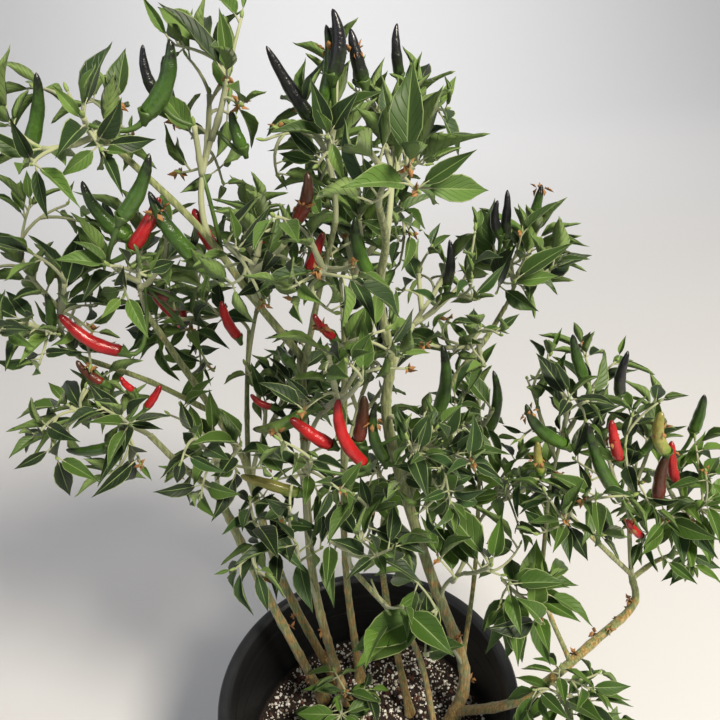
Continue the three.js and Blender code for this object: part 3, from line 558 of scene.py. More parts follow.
def bark_relief(angle, along, seed):
    """How far the wood stands out of its taper, as a share of its radius."""
    ridges = RIDGES["depth"] * math.cos(RIDGES["count"] * angle + RIDGES["twist"] * along + seed)
    from_knot = abs((along + KNOTS["shift"] * seed) % KNOTS["pitch"] - KNOTS["pitch"] / 2)
    knots = KNOTS["height"] * math.exp(-((from_knot / KNOTS["half"]) ** 2))
    around = Vector((
        math.cos(angle) * BARK_LUMPS["round"], math.sin(angle) * BARK_LUMPS["round"],
        along / BARK_LUMPS["long"],
    ))
    lumps = BARK_LUMPS["height"] * noise.noise(around + Vector((seed * BARK_LUMPS["shift"], 0, 0)))
    return ridges + knots + lumps


def grow_limb(bm, limb, seed):
    """Extrudes a limb ring by ring up its curve, then presses the bark's relief into it."""
    steps = max(FEWEST_RINGS, round(limb["length"] / RING_PITCH))
    shares = np.linspace(0, 1, steps + 1)
    points = line_of(limb["curve"], steps)
    ways, sides = frames_along(points)
    start = points[0].copy()
    if limb["rooted"]:
        points[0] -= ROOT_FLARE["sink"] * UP
    last, ends = Matrix.Identity(4), None
    for k, share in enumerate(shares):
        radius = limb_radius(limb, share, np.linalg.norm(points[k] - start))
        other = np.cross(ways[k], sides[k])
        turn = Matrix([[*row] for row in np.array([sides[k], other, ways[k]]).T]).to_4x4()
        ring = Matrix.Translation(points[k] * MM) @ turn @ Matrix.Scale(radius * MM, 4)
        if k == 0:
            made = bmesh.ops.create_circle(bm, cap_ends=True, radius=1, segments=LIMB_SIDES, matrix=ring)
            corners = made["verts"]
            ends = corners[0].link_faces[0]
        else:
            made = bmesh.ops.extrude_discrete_faces(bm, faces=[ends])
            ends = made["faces"][0]
            corners = list(ends.verts)
            bmesh.ops.transform(bm, matrix=ring @ last.inverted(), verts=corners)
        last = ring
        centre = Vector(points[k] * MM)
        for corner in corners:
            out = corner.co - centre
            angle = math.atan2(out.dot(Vector(other)), out.dot(Vector(sides[k])))
            relief[corner] = (out, bark_relief(angle, share * limb["length"], seed))


bm = bmesh.new()
relief = {}
for seed, limb in enumerate(limbs.values()):
    grow_limb(bm, limb, seed)
for corner, (out, share) in relief.items():
    corner.co += out * share
bmesh.ops.recalc_face_normals(bm, faces=bm.faces)
limb_mesh = to_mesh(bm, "limbs")

# Chilli wood: grey-green under a pale down, with fine streaks along it.
# Cork breaks through in tan patches low down.
wood = new_material("downy_chilli_stem", Roughness=0.72, Sheen_Weight=0.25, Sheen_Roughness=0.6)
place = object_place(wood)
height = add_node(wood, "SeparateXYZ", {"Vector": place}).outputs["Z"]
stretched = add_node(wood, "Mapping", {"Vector": place}, Scale=(1, 1, 0.12))
streaks = roughen(
    wood, scale=620, detail=5, strength=0.5, depth=0.7, roughness=0.6, place=stretched.outputs["Vector"]
)
green = ramp(wood, streaks, (0.3, "#505b30"), (0.5, "#767f49"), (0.7, "#a2a674"))
cork = ramp(wood, streaks, (0.3, "#6a5328"), (0.5, "#9d7f40"), (0.7, "#cbac70"))
patches = add_node(wood, "TexNoise", {"Vector": place}, Scale=120.0, Detail=4.0)
low = add_node(wood, "MapRange", {"Value": height}, From_Min=0.2, From_Max=0.6, To_Min=0.37, To_Max=0.06)
corky = add_node(wood, "Math", {0: patches.outputs["Fac"], 1: low.outputs["Result"]}, operation="ADD")
corky_edge = add_node(wood, "MapRange", {"Value": corky.outputs["Value"]}, From_Min=0.72, From_Max=0.86)
blend = add_node(
    wood, "Mix", {"Factor": corky_edge.outputs["Result"], FIRST_COLOUR: green, SECOND_COLOUR: cork},
    data_type="RGBA",
)
link(wood, blend.outputs[MIXED_COLOUR], "Base Color")
add_piece("stems", limb_mesh, [wood], list(limbs))


# Masses of leaves
# Each mass grows from one stem on a limb, forks into a few leafy shoots, and keeps to an ellipsoid.
# A row gives its name, limb and share, the ellipsoid's centre and reach, the count of shoots and leaf length.
CLEARANCE = 3.2
TWIG = {"radius": (1.7, 1.2), "clearance": 1.5}
MASS_STEM = {"share": 0.75, "radius": 2.4, "fit": 0.92, "blend": 0.4, "bend": 0.5}
SHOOT = {
    "lean": (0.8, -0.5), "spread": (0.3, 0.12), "lowest_fork": 0.5, "bend": 0.55, "sag": 0.12, "rise": 0.4,
}
GOLDEN_ANGLE = 2.39996
SEEDS = {"shoots": 1000, "leaves": 7000, "step": 77}
WORD = 2**32 - 1
WORD_STEP = 0x6D2B79F5
LIMB_SPAN = 25
SIDE_LEAVES = 3
NODES = [
    {"share": 0.4, "open": 88, "size": 1},
    {"share": 0.7, "open": 84, "size": 1},
    {"share": 1, "open": 78, "size": 1},
]
TOP_NODE = {"open": 46, "size": 0.8}
LEAF_OPEN_RANGE = 16
LEAF_SIZE_RANGE = (0.82, 0.36)
MASSES = [
    ("top_left", "bough_upper_left", 1, (-132, -35, 846), (70, 56, 50), 3, 40),
    ("high_left", "bough_upper_left", 0.62, (-66, 4, 850), (53, 60, 74), 3, 42),
    ("high_middle", "bough_front", 1, (-1, 8, 836), (52, 58, 62), 3, 42),
    ("crown", "bough_crown", 1, (40, -74, 826), (62, 56, 52), 3, 48),
    ("high_back", "bough_crown", 0.55, (50, 38, 828), (46, 55, 50), 3, 40),
    ("upper_left", "bough_upper_left", 0.3, (-44, -34, 776), (55, 53, 50), 3, 42),
    ("centre", "bough_front", 0.6, (-2, -68, 770), (53, 50, 55), 3, 40),
    ("inner", "stem_back", 1, (28, 60, 745), (60, 65, 65), 3, 44),
    ("left", "bough_left", 1, (-132, -4, 758), (55, 60, 55), 3, 42),
    ("far_left", "bough_far_left", 1, (-196, 2, 735), (58, 65, 96), 4, 42),
    ("rear_left", "bough_rear_left", 1, (-126, 98, 668), (72, 74, 72), 3, 46),
    ("rear_high", "bough_rear_left", 0.7, (-58, 118, 708), (62, 72, 72), 3, 46),
    ("right_high", "stem_main", 0.93, (84, 50, 708), (50, 58, 54), 3, 42),
    ("right_top", "bough_right", 1, (154, 88, 696), (62, 64, 62), 4, 46),
    ("right_inner", "bough_right", 0.7, (96, 28, 652), (58, 62, 50), 3, 42),
    ("front", "stem_centre", 0.8, (8, -52, 686), (58, 55, 60), 3, 46),
    ("middle_left", "stem_left", 0.96, (-98, -12, 604), (58, 55, 58), 3, 44),
    ("inner_left", "stem_rear_left", 0.9, (-52, 60, 604), (53, 62, 58), 3, 44),
    ("low_left", "bough_left_low", 1, (-176, -20, 642), (67, 65, 58), 3, 44),
    ("front_middle", "stem_centre", 0.62, (-34, -44, 620), (55, 60, 62), 3, 44),
    ("middle", "stem_main", 0.78, (62, -34, 598), (58, 60, 62), 3, 46),
    ("rear_low", "stem_rear", 1, (38, 114, 464), (74, 74, 74), 3, 52),
    ("rear_middle", "stem_back", 0.7, (22, 134, 580), (72, 70, 70), 3, 48),
    ("rear_top", "stem_back", 0.92, (2, 144, 692), (70, 67, 70), 3, 46),
    ("right_middle", "bough_slim", 1, (118, 68, 560), (58, 65, 70), 3, 44),
    ("right_low", "bough_slim", 0.75, (154, 50, 488), (62, 62, 58), 3, 48),
    ("low_front_left", "stem_centre", 0.4, (-58, -30, 522), (58, 60, 60), 3, 48),
    ("low_front", "stem_front", 1, (2, -50, 532), (60, 58, 62), 3, 48),
    ("low_right", "stem_main", 0.42, (100, -22, 470), (65, 65, 62), 3, 58),
    ("low_inner", "stem_main", 0.25, (46, -40, 414), (62, 60, 62), 3, 60),
    ("low_shoot", "shoot_low", 0.35, (138, -44, 448), (58, 58, 60), 3, 56),
    ("shoot_top", "shoot_low", 1, (182, 18, 602), (67, 67, 67), 3, 42),
    ("outer_left", "bough_low_left", 1, (180, -22, 534), (55, 62, 53), 3, 44),
    ("outer_middle", "bough_low", 0.99, (238, 18, 548), (60, 70, 70), 3, 44),
    ("outer_right", "bough_low_right", 1, (294, 24, 490), (65, 74, 89), 4, 44),
    ("outer_low", "bough_low", 0.33, (186, -66, 316), (58, 55, 48), 3, 50),
    ("basal", "stem_centre", 0.03, (-32, 6, 238), (53, 46, 41), 3, 42),
]
masses = [dict(zip(("name", "on", "at", "centre", "reach", "shoots", "leaf"), row)) for row in MASSES]
for mass in masses:
    mass["centre"] = np.array(mass["centre"], float)
    mass["reach"] = np.array(mass["reach"], float)

# Each pod's mass, its stalk end, its tip, and the ripeness that gives its colour
PODS = [
    ("left", (-118, -52, 801), (-95, -52, 836), "green"),
    ("left", (-131, -10, 774), (-151, -10, 813), "green"),
    ("left", (-129, -15, 768), (-104, -15, 801), "red"),
    ("left", (-88, -20, 761), (-109, -20, 806), "green"),
    ("left", (-152, -16, 694), (-187, -18, 726), "red"),
    ("left", (-117, 10, 721), (-140, 10, 733), "brown"),
    ("left", (-124, 30, 697), (-136, 30, 716), "red"),
    ("top_left", (-95, -40, 855), (-75, -40, 892), "green"),
    ("top_left", (-170, -30, 837), (-153, -30, 879), "green"),
    ("high_left", (-76, -12, 763), (-85, -12, 791), "red"),
    ("high_left", (-91, -15, 857), (-96, -15, 888), "black"),
    ("high_left", (-49, -5, 825), (-53, -5, 848), "green"),
    ("high_middle", (-5, 10, 835), (-29, 10, 881), "black"),
    ("high_middle", (10, -20, 866), (12, -20, 900), "black"),
    ("high_middle", (2, -15, 849), (8, -15, 892), "green"),
    ("high_middle", (28, 0, 858), (22, 0, 888), "black"),
    ("high_back", (53, 40, 855), (53, 40, 886), "black"),
    ("upper_left", (-20, -20, 781), (-10, -20, 812), "brown"),
    ("centre", (-16, -14, 745), (-4, -14, 770), "red"),
    ("inner", (26, 20, 724), (18, 20, 769), "green"),
    ("far_left", (-172, -14, 668), (-186, -14, 688), "brown"),
    ("far_left", (-200, -5, 713), (-197, -5, 737), "green"),
    ("rear_left", (-84, 60, 659), (-93, 60, 692), "red"),
    ("rear_left", (-140, 112, 668), (-152, 118, 634), "red"),
    ("rear_high", (-66, 140, 716), (-74, 146, 680), "red"),
    ("right_high", (86, 50, 698), (88, 50, 735), "black"),
    ("right_top", (133, 80, 725), (130, 80, 754), "black"),
    ("right_top", (139, 85, 719), (139, 85, 760), "black"),
    ("right_top", (166, 108, 716), (172, 114, 754), "green"),
    ("front_middle", (13, -45, 603), (-2, -45, 660), "red"),
    ("front_middle", (-10, -35, 614), (-38, -35, 641), "red"),
    ("front_middle", (-40, -25, 562), (-83, -25, 585), "bronze"),
    ("front", (-30, -25, 637), (-68, -25, 627), "pale"),
    ("front", (-2, -20, 695), (-15, -20, 715), "red"),
    ("middle", (9, -8, 597), (16, -8, 639), "brown"),
    ("middle", (29, -8, 576), (25, -8, 631), "green"),
    ("middle", (75, 30, 589), (80, 30, 656), "green"),
    ("low_left", (-147, -10, 642), (-133, -10, 660), "red"),
    ("low_left", (-180, -20, 615), (-211, -20, 616), "green"),
    ("low_left", (-155, -5, 654), (-162, -5, 667), "red"),
    ("rear_middle", (36, 150, 590), (42, 156, 632), "black"),
    ("rear_top", (10, 168, 700), (22, 172, 660), "red"),
    ("right_middle", (122, 60, 541), (128, 60, 611), "green"),
    ("shoot_top", (193, 20, 621), (179, 20, 664), "green"),
    ("shoot_top", (221, 15, 609), (221, 15, 649), "black"),
    ("shoot_top", (174, -5, 577), (140, -5, 619), "green"),
    ("outer_middle", (218, -10, 562), (207, -10, 601), "red"),
    ("outer_middle", (217, -15, 533), (188, -15, 602), "green"),
    ("outer_middle", (246, 10, 551), (253, 10, 578), "green"),
    ("outer_middle", (264, 5, 504), (264, 5, 552), "brown"),
    ("outer_middle", (251, -5, 470), (235, -5, 492), "red"),
    ("outer_middle", (263, 4, 555), (252, 4, 597), "bronze"),
    ("outer_right", (283, 15, 513), (272, 15, 557), "red"),
    ("outer_right", (303, 40, 547), (305, 40, 586), "green"),
    ("inner_left", (-59, 20, 615), (-74, 20, 628), "red"),
    ("inner_left", (-37, 0, 666), (-48, 24, 668), "green"),
    ("outer_left", (155, -10, 553), (150, -10, 586), "bronze"),
]


def random_from(seed):
    """A repeatable random number source, the same as the source's."""
    state = seed

    def draw():
        nonlocal state
        state = (state + WORD_STEP) & WORD
        t = ((state ^ (state >> 15)) * (state | 1)) & WORD
        t ^= (t + (((t ^ (t >> 7)) * (t | 61)) & WORD)) & WORD
        return (t ^ (t >> 14)) / (WORD + 1)

    return draw


def trace_stem(mass):
    """A mass's own stem leaves its limb and stops short of the centre."""
    limb = limbs[mass["on"]]
    start = limb["curve"](mass["at"])
    way = heading(limb["curve"], mass["at"])
    if mass["at"] == 1:
        start = start + way * GAP
    away = mass["centre"] - start
    length = np.linalg.norm(away) * MASS_STEM["share"]
    away = unit(away)
    leaving = unit(way * (1 - MASS_STEM["blend"]) + away * MASS_STEM["blend"])
    bend = start + leaving * length * MASS_STEM["bend"]
    base = min(limb_radius(limb, mass["at"]) * MASS_STEM["fit"], MASS_STEM["radius"])
    return {"curve": bent(start, bend, start + away * length), "radii": (base, TWIG["radius"][0])}


def trace_shoots(mass, index):
    """The shoots of a mass by its own random numbers. The first carries on from the stem."""
    random = random_from(SEEDS["shoots"] + SEEDS["step"] * index)
    phase = random() * 2 * math.pi
    count = mass["shoots"]
    high, low = SHOOT["lean"]
    shoots = []
    for k in range(count):
        turn = phase + k * GOLDEN_ANGLE
        lean = math.asin(high + (low - high) * (k + 0.5) / count)
        out = np.array([math.cos(turn) * math.cos(lean), math.sin(turn) * math.cos(lean), math.sin(lean)])
        spread = SHOOT["spread"][0] + SHOOT["spread"][1] * random()
        end = mass["centre"] + out * mass["reach"] * spread
        fork = mass["stem"]["curve"](1 + (SHOOT["lowest_fork"] - 1) * k / count)
        bend = fork + (end - fork) * SHOOT["bend"] - UP * SHOOT["sag"] * np.linalg.norm(end - fork)
        sizes = [random() for _ in range(SIDE_LEAVES * (len(NODES) + 1))]
        twist = random() * 2 * math.pi
        shoots.append({
            "curve": bent(fork, bend, end), "radii": TWIG["radius"], "sizes": sizes, "twist": twist,
            "rise": SHOOT["rise"],
        })
    return shoots


def planes_of(mass):
    """The planes that part a mass from its neighbours, as normals and limits."""
    others = [other for other in masses if other is not mass]
    normals, limits = [], []
    for other in others:
        away = other["centre"] - mass["centre"]
        normal = unit(away)
        own = 1 / np.linalg.norm(normal / mass["reach"])
        theirs = 1 / np.linalg.norm(normal / other["reach"])
        normals.append(normal)
        limits.append(np.linalg.norm(away) * own / (own + theirs) - GAP)
    return np.array(normals), np.array(limits)


def in_space(mass, points, slack):
    """True where points lie in a mass's ellipsoid, stretched by slack, and on its side of the planes."""
    from_centre = points - mass["centre"]
    normals, limits = mass["planes"]
    inside = np.linalg.norm(from_centre / mass["reach"], axis=1) < slack
    return bool(inside.all() and (from_centre @ normals.T < limits).all())


def segments_of(line, radii):
    """A tapering line as rows of a start, a span, a radius and its change."""
    return np.hstack([line[:-1], np.diff(line, axis=0), radii[:-1, None], np.diff(radii)[:, None]])


def taper(radii, steps):
    return np.linspace(*radii, steps + 1)


def curve_segments(curve, radii, steps=4):
    """The tapering segments of a curve."""
    return segments_of(line_of(curve, steps), taper(radii, steps))


def gap_to(points, segments):
    """Least distance from any of the points to tapering segments, less the segments' radii."""
    starts, spans, radii, changes = np.split(segments, [3, 6, 7], axis=1)
    from_start = points[:, None] - starts
    share = np.clip((from_start * spans).sum(2) / (spans**2).sum(1), 0, 1)
    distance = np.linalg.norm(from_start - share[..., None] * spans, axis=2)
    return (distance - radii.T - share * changes.T).min()


def clear_of_pot(points):
    """Leaves keep off the pot's wall and the mix."""
    radius = np.hypot(points[:, 0], points[:, 1])
    over = points[:, 2] > POT_HEIGHT + CLEARANCE
    wall = pot_inner_radius(MIX_TOP) - CLEARANCE
    within = (radius < wall) & (points[:, 2] > MIX_TOP + CLEARANCE)
    return bool((over | (radius > RIM_RADIUS + CLEARANCE) | within).all())


limb_segments = []
for limb in limbs.values():
    steps = max(4, int(limb["length"] / LIMB_SPAN))
    radii = [limb_radius(limb, share) for share in np.linspace(0, 1, steps + 1)]
    limb_segments.append(segments_of(line_of(limb["curve"], steps), np.array(radii)))
limb_segments = np.vstack(limb_segments)

for index, mass in enumerate(masses):
    mass["stem"] = trace_stem(mass)
    mass["planes"] = planes_of(mass)
    mass["growth"] = trace_shoots(mass, index)
    mass["random"] = random_from(SEEDS["leaves"] + SEEDS["step"] * index)
    mass["stem_segments"] = curve_segments(**mass["stem"])
for mass in masses:
    others = [other["stem_segments"] for other in masses if other is not mass]
    mass["wood"] = np.vstack([limb_segments, *others])


# Pods
# Each stands on an arching stalk that leaves the nearest shoot, and bows a little along its length.
POD = {"radius": 5.0, "full": 44, "plumpest": 1.1, "bow": 0.07, "spread": 0.12, "steps": 8, "tip": 1}
STALK = {"arch": 0.5, "radius": 1.2, "starts": np.linspace(0.2, 1, 9)}
POD_CLEARANCE = 1.6
SIDE_HINT = UP + 0.01

pods = []
for on, base, tip, ripeness in PODS:
    mass = next(mass for mass in masses if mass["name"] == on)
    base, tip = np.array(base, float), np.array(tip, float)
    axis = tip - base
    length = np.linalg.norm(axis)
    axis = axis / length
    side = square_to(SIDE_HINT, axis)
    places = [(shoot, share) for shoot in mass["growth"] for share in STALK["starts"]]
    costs = [np.linalg.norm(shoot["curve"](share) - base) for shoot, share in places]
    shoot, share = places[int(np.argmin(costs))]
    start = shoot["curve"](share)
    bend = base - axis * STALK["arch"] * np.linalg.norm(base - start)
    shares = taper((0, 1), POD["steps"])
    bow = 4 * POD["bow"] * length * (shares * (1 - shares))[:, None]
    line = base + axis * length * shares[:, None] - side * bow
    plump = 1 + POD["spread"] * math.sin(3 * len(pods))
    radius = POD["radius"] * plump * min(POD["plumpest"], math.sqrt(length / POD["full"]))
    pods.append({
        "axis": axis, "side": side, "across": np.cross(axis, side), "length": length, "radius": radius,
        "line": line, "stalk": bent(start, bend, base), "ripeness": ripeness,
    })
pod_segments = np.vstack(
    [segments_of(pod["line"], taper((pod["radius"], POD["tip"]), POD["steps"])) for pod in pods]
    + [curve_segments(pod["stalk"], (STALK["radius"], STALK["radius"])) for pod in pods]
)


# Openings
# Sky shows between the sprays, and the pods and the pale stems stay in view, as seen from the camera.
# Each opening is a place and a radius in pixels of the photograph.
PHOTO_SIZE = 720
CAMERA = {"place": (14.6, -446.3, 923.4), "down": 30.1, "roll": -3.8, "lens": 34.65, "sensor": 36}
OPENINGS = [
    (190, 75, 20), (140, 32, 14), (252, 65, 15), (275, 32, 15), (212, 110, 16), (198, 150, 12),
    (172, 172, 11), (60, 60, 20), (93, 112, 8), (50, 134, 9), (310, 28, 12), (374, 40, 12),
    (296, 60, 8), (420, 32, 18), (524, 44, 32), (520, 158, 28), (457, 220, 15), (560, 165, 26),
    (273, 162, 10), (273, 304, 9), (35, 226, 11), (58, 370, 11), (227, 362, 10), (230, 398, 13),
    (432, 278, 9), (331, 313, 8), (374, 432, 8), (418, 376, 19), (514, 358, 20), (510, 400, 18),
    (547, 412, 8), (568, 424, 8), (600, 300, 30), (208, 548, 11), (285, 672, 15), (408, 678, 15),
    (440, 690, 12), (352, 606, 11), (600, 585, 12), (570, 640, 12), (680, 412, 12),
]
POD_MARGIN = 1.5
POD_VIEW = slice(2, None)
FRONT = 100
LIMB_VIEW_STEP = 5
STEM_VIEW = 0.75
NEAREST = ["crown", "centre", "top_left"]


def camera_axes():
    """The camera's right, up and ahead as unit vectors."""
    down, roll = math.radians(CAMERA["down"]), math.radians(CAMERA["roll"])
    level = np.array([1.0, 0, 0])
    above = np.array([0, math.sin(down), math.cos(down)])
    ahead = np.array([0, math.cos(down), -math.sin(down)])
    right = level * math.cos(roll) + above * math.sin(roll)
    up = above * math.cos(roll) - level * math.sin(roll)
    return np.array([right, up, ahead])


CAMERA_AXES = camera_axes()


def seen_at(points):
    """Where points fall in the photograph, with their depth and the pixels to a millimetre there."""
    right, up, depth = CAMERA_AXES @ (points - np.array(CAMERA["place"])).T
    scale = PHOTO_SIZE * CAMERA["lens"] / CAMERA["sensor"] / depth
    return np.stack([PHOTO_SIZE / 2 + right * scale, PHOTO_SIZE / 2 - up * scale], 1), depth, scale


def outline_seen(line, radius, margin):
    """Rows of place, radius and depth that cover a round line as the camera sees it."""
    at, depth, scale = seen_at(line)
    return np.column_stack([at, radius * scale + margin, depth - radius])


def hides(points, shown):
    """True where a point stands before something that is to show."""
    at, depth, _ = seen_at(points)
    before = np.linalg.norm(at[:, None] - shown[:, :2], axis=2) < shown[:, 2]
    return bool((before & (depth[:, None] < shown[:, 3])).any())


sky = np.array([(u, v, radius, math.inf) for u, v, radius in OPENINGS])
shown_pods = np.vstack([
    outline_seen(pod["line"][POD_VIEW], pod["radius"], POD_MARGIN)
    for pod in pods if pod["line"][0][1] < FRONT
])
shown = np.vstack([sky, shown_pods])
shown_limbs = np.vstack([
    outline_seen(line_of(limb["curve"], int(limb["length"] / LIMB_VIEW_STEP)), limb["thick"][1], 0)
    for limb in limbs.values()
])


# Finer twigs
# They leave the shoots for the sprays that show, then for places spread through their mass's space.
# Each ends in a rosette of leaves. One is skipped where it would touch wood or a pod, or hide a pod.
FINE_TWIG = {
    "radii": (1.25, 0.85), "bend": 0.45, "rise": 0.55, "twist": 6.3, "slack": 0.97, "steps": 5,
    "tries": 90, "most": 7, "spread": 0.82, "apart": 23, "length": (12, 62), "fewest_leaves": 2,
}

# Each mass's sprays that show, as pixels of the photograph
SPRAYS = {
    "top_left": [(118, 105), (68, 92), (170, 128), (100, 148), (35, 88)],
    "high_left": [(224, 84), (205, 50), (230, 60), (238, 104), (250, 112), (228, 145), (175, 45), (165, 30)],
    "upper_left": [(218, 172), (268, 225), (300, 270), (250, 200), (285, 190), (262, 172), (240, 250)],
    "high_middle": [
        (337, 55), (320, 64), (318, 112), (328, 138), (318, 165), (280, 130), (300, 108), (265, 140),
    ],
    "crown": [(400, 112), (438, 112), (375, 158), (430, 150), (350, 104), (452, 138), (415, 190)],
    "high_back": [(415, 85), (445, 110), (425, 165)],
    "centre": [(330, 232), (352, 278), (290, 288), (345, 198), (370, 205)],
    "inner": [(400, 205), (410, 232), (400, 262)],
    "right_high": [(440, 300), (400, 290), (470, 262), (472, 300), (430, 250)],
    "right_inner": [(405, 315), (425, 345), (470, 345), (500, 335)],
    "right_top": [(518, 262), (532, 218), (497, 292), (478, 272), (505, 235), (550, 250)],
    "left": [(130, 268), (88, 262), (125, 292), (110, 240), (165, 235)],
    "far_left": [(30, 205), (66, 205), (58, 335), (90, 330), (48, 285), (40, 362), (90, 225)],
    "low_left": [(85, 388), (90, 408), (130, 425), (140, 462), (105, 375), (60, 395)],
    "middle_left": [(205, 425), (238, 472), (170, 415), (190, 395), (225, 400)],
    "front": [(325, 372), (300, 365), (345, 345), (385, 330), (395, 355)],
    "inner_left": [(250, 340), (275, 375), (260, 400), (300, 400)],
    "rear_left": [(175, 290), (190, 330), (205, 300), (160, 340)],
    "front_middle": [(280, 440), (300, 455), (255, 450), (325, 415), (340, 490)],
    "low_front_left": [(285, 525), (290, 500), (268, 545), (305, 550), (250, 500)],
    "low_front": [(360, 540), (355, 495), (345, 520), (330, 480), (392, 548)],
    "middle": [(400, 485), (420, 455), (440, 470), (408, 440), (435, 430), (450, 500)],
    "right_middle": [(445, 440), (455, 400), (475, 378), (460, 455), (500, 445)],
    "right_low": [(505, 480), (540, 500), (520, 530), (490, 540), (480, 505)],
    "outer_left": [(508, 480), (545, 492), (565, 520), (585, 500), (600, 535)],
    "shoot_top": [(558, 388), (592, 400), (585, 418), (545, 430), (520, 440)],
    "outer_middle": [(592, 480), (640, 482), (650, 505), (630, 462), (575, 460), (612, 500)],
    "outer_right": [(680, 470), (690, 520), (665, 520), (700, 480), (640, 540), (695, 440)],
    "low_right": [(440, 560), (470, 558), (465, 592), (500, 575)],
    "low_shoot": [(545, 585), (522, 562), (555, 562), (500, 605)],
    "low_inner": [(410, 575), (372, 582), (388, 612), (440, 620)],
    "outer_low": [(560, 668), (590, 690), (535, 690), (580, 700)],
    "basal": [(345, 692), (335, 672)],
}
SPRAY_DEPTHS = (0.25, -0.1, 0.5, -0.4)
SPRAY_ROOM = {"apart": 8, "longest": 96}
FORK_SHARES = (0.15, 0.4, 0.55, 0.7, 0.85, 1)
TURN_COST = 0.7
TWIG_NODES = [
    {"share": 0.8, "open": 84, "size": 0.76},
    {"share": 0.92, "open": 70, "size": 0.92},
    {"share": 1, "open": 54, "size": 0.8},
]
TUFT = {"open": 30, "size": 0.5}
BOX_CENTRE = np.mean(cad_box, axis=0) / MM
BOX_HALF = np.ptp(cad_box, axis=0) / MM / 2
BOX_LEEWAY = 11


def free(mass, points, slack, keep_clear):
    """True where points keep to their mass's space, off wood, pods and pot, and hide nothing that shows."""
    return (
        in_space(mass, points, slack)
        and bool((abs(points - BOX_CENTRE) < BOX_HALF + BOX_LEEWAY).all())
        and gap_to(points, mass["wood"]) > CLEARANCE
        and gap_to(points, pod_segments) > POD_CLEARANCE
        and clear_of_pot(points)
        and not hides(points, keep_clear)
    )


def turned(v, axis, angle):
    """v turned about a unit axis."""
    return (
        v * math.cos(angle) + np.cross(axis, v) * math.sin(angle)
        + axis * np.dot(axis, v) * (1 - math.cos(angle))
    )


def ways_out(axis, twist, count):
    """Directions square to an axis, evenly round it."""
    first = square_to(across_from(axis), axis)
    return [turned(first, axis, twist + 2 * math.pi * k / count) for k in range(count)]


def random_in_ball(random):
    """An even random place in a ball of radius 1."""
    lift = 2 * random() - 1
    turn = 2 * math.pi * random()
    flat = math.sqrt(1 - lift * lift)
    return np.array([flat * math.cos(turn), flat * math.sin(turn), lift]) * random() ** (1 / 3)


def best_fork(forks, end):
    """The fork from which a twig reaches its end with the least way and turning."""
    def cost(fork):
        start, way, _ = fork
        length = np.linalg.norm(end - start)
        return length * (1 + TURN_COST * (1 - np.dot(way, end - start) / (length or 1)))

    return min(forks, key=cost)


def place_seen(at, mass, nearer):
    """The point seen at a place of the photograph, nearer than the mass's centre by a share of its reach."""
    camera_place = np.array(CAMERA["place"])
    depth = CAMERA_AXES[2] @ (mass["centre"] - camera_place) - nearer * mass["reach"].mean()
    from_middle = np.array([at[0] - PHOTO_SIZE / 2, PHOTO_SIZE / 2 - at[1]])
    slopes = from_middle * CAMERA["sensor"] / CAMERA["lens"] / PHOTO_SIZE
    return camera_place + depth * (np.append(slopes, 1) @ CAMERA_AXES)


def grow_fine_twigs(mass):
    """Twigs to the mass's sprays that show, then to places that keep apart, each from the best fork."""
    random = mass["random"]
    shoots = mass["growth"]
    forks = [
        (shoot["curve"](share), heading(shoot["curve"], share), None)
        for shoot in shoots for share in FORK_SHARES
    ]
    tips = [shoot["curve"](1) for shoot in shoots]
    shortest, longest = FINE_TWIG["length"]
    twigs = []

    def try_twig(end, apart, most):
        if min(np.linalg.norm(end - tip) for tip in tips) < apart:
            return False
        start, way, parent = best_fork(forks, end)
        length = np.linalg.norm(end - start)
        if not shortest < length < most:
            return False
        bend = start + unit(way + unit(end - start)) * length * FINE_TWIG["bend"]
        curve = bent(start, bend, end)
        if not free(mass, line_of(curve, FINE_TWIG["steps"])[1:], FINE_TWIG["slack"], shown_pods):
            return False
        twig = {
            "curve": curve, "radii": FINE_TWIG["radii"], "twist": random() * FINE_TWIG["twist"],
            "rise": FINE_TWIG["rise"], "from": parent,
        }
        twigs.append(twig)
        tips.append(end)
        forks.append((curve(0.5), heading(curve, 0.5), twig))
        return True

    for at in SPRAYS.get(mass["name"], []):
        places = [place_seen(at, mass, nearer) for nearer in SPRAY_DEPTHS]
        any(try_twig(place, SPRAY_ROOM["apart"], SPRAY_ROOM["longest"]) for place in places)
    most = len(twigs) + FINE_TWIG["most"]
    for _ in range(FINE_TWIG["tries"]):
        if len(twigs) < most:
            end = mass["centre"] + mass["reach"] * FINE_TWIG["spread"] * random_in_ball(random)
            try_twig(end, FINE_TWIG["apart"], longest)
    return twigs


# Leaves
# Egg-shaped blades with a drawn-out tip, folded along the midrib and arched, as thin closed shells.
# The upper side, the underside, the midrib and the downy edge are faces of their own finish.
LEAF = {
    "lift": 0.273, "droop": 0.433, "width": 0.38, "petiole": 0.15, "thick": 0.5, "groove": 0.5, "cup": 0.15,
    "waves": 9, "wave_height": 0.022, "roll": 0.9, "fold": (22, 30), "young_fold": (38, 30),
    "droops": (0.4, 0.6), "young_droop": 0.7, "widths": (0.84, 0.3), "phase": 6.3,
}
LEAF_RISE = {"heights": (430, 700), "lifts": (-0.6, 0.4)}
LEAF_SCALES = {
    "crown": 1.45, "high_left": 1.2, "centre": 1.15, "right_top": 1.3, "low_inner": 1.2, "low_right": 1.15,
}
LOW_LEAF = {"over": 51, "wider": 1.22}
YOUNG_SIZE = 0.6
TUFT_ABOVE = 3
LEAF_TRIES = [(0, 1), (0.5, 1), (-0.5, 1), (0, 0.76)]
LEAF_SLACK = 1.08
LEAF_SPACING = 3.4
ROOT_LENGTH = 7
MOST_SAMPLES = 9000
LEAF_ROWS = np.array([0.1, 0.24, 0.4, 0.57, 0.74, 0.89])
LEAF_WIDTHS = np.array([0.54, 0.94, 1.0, 0.8, 0.45, 0.15])
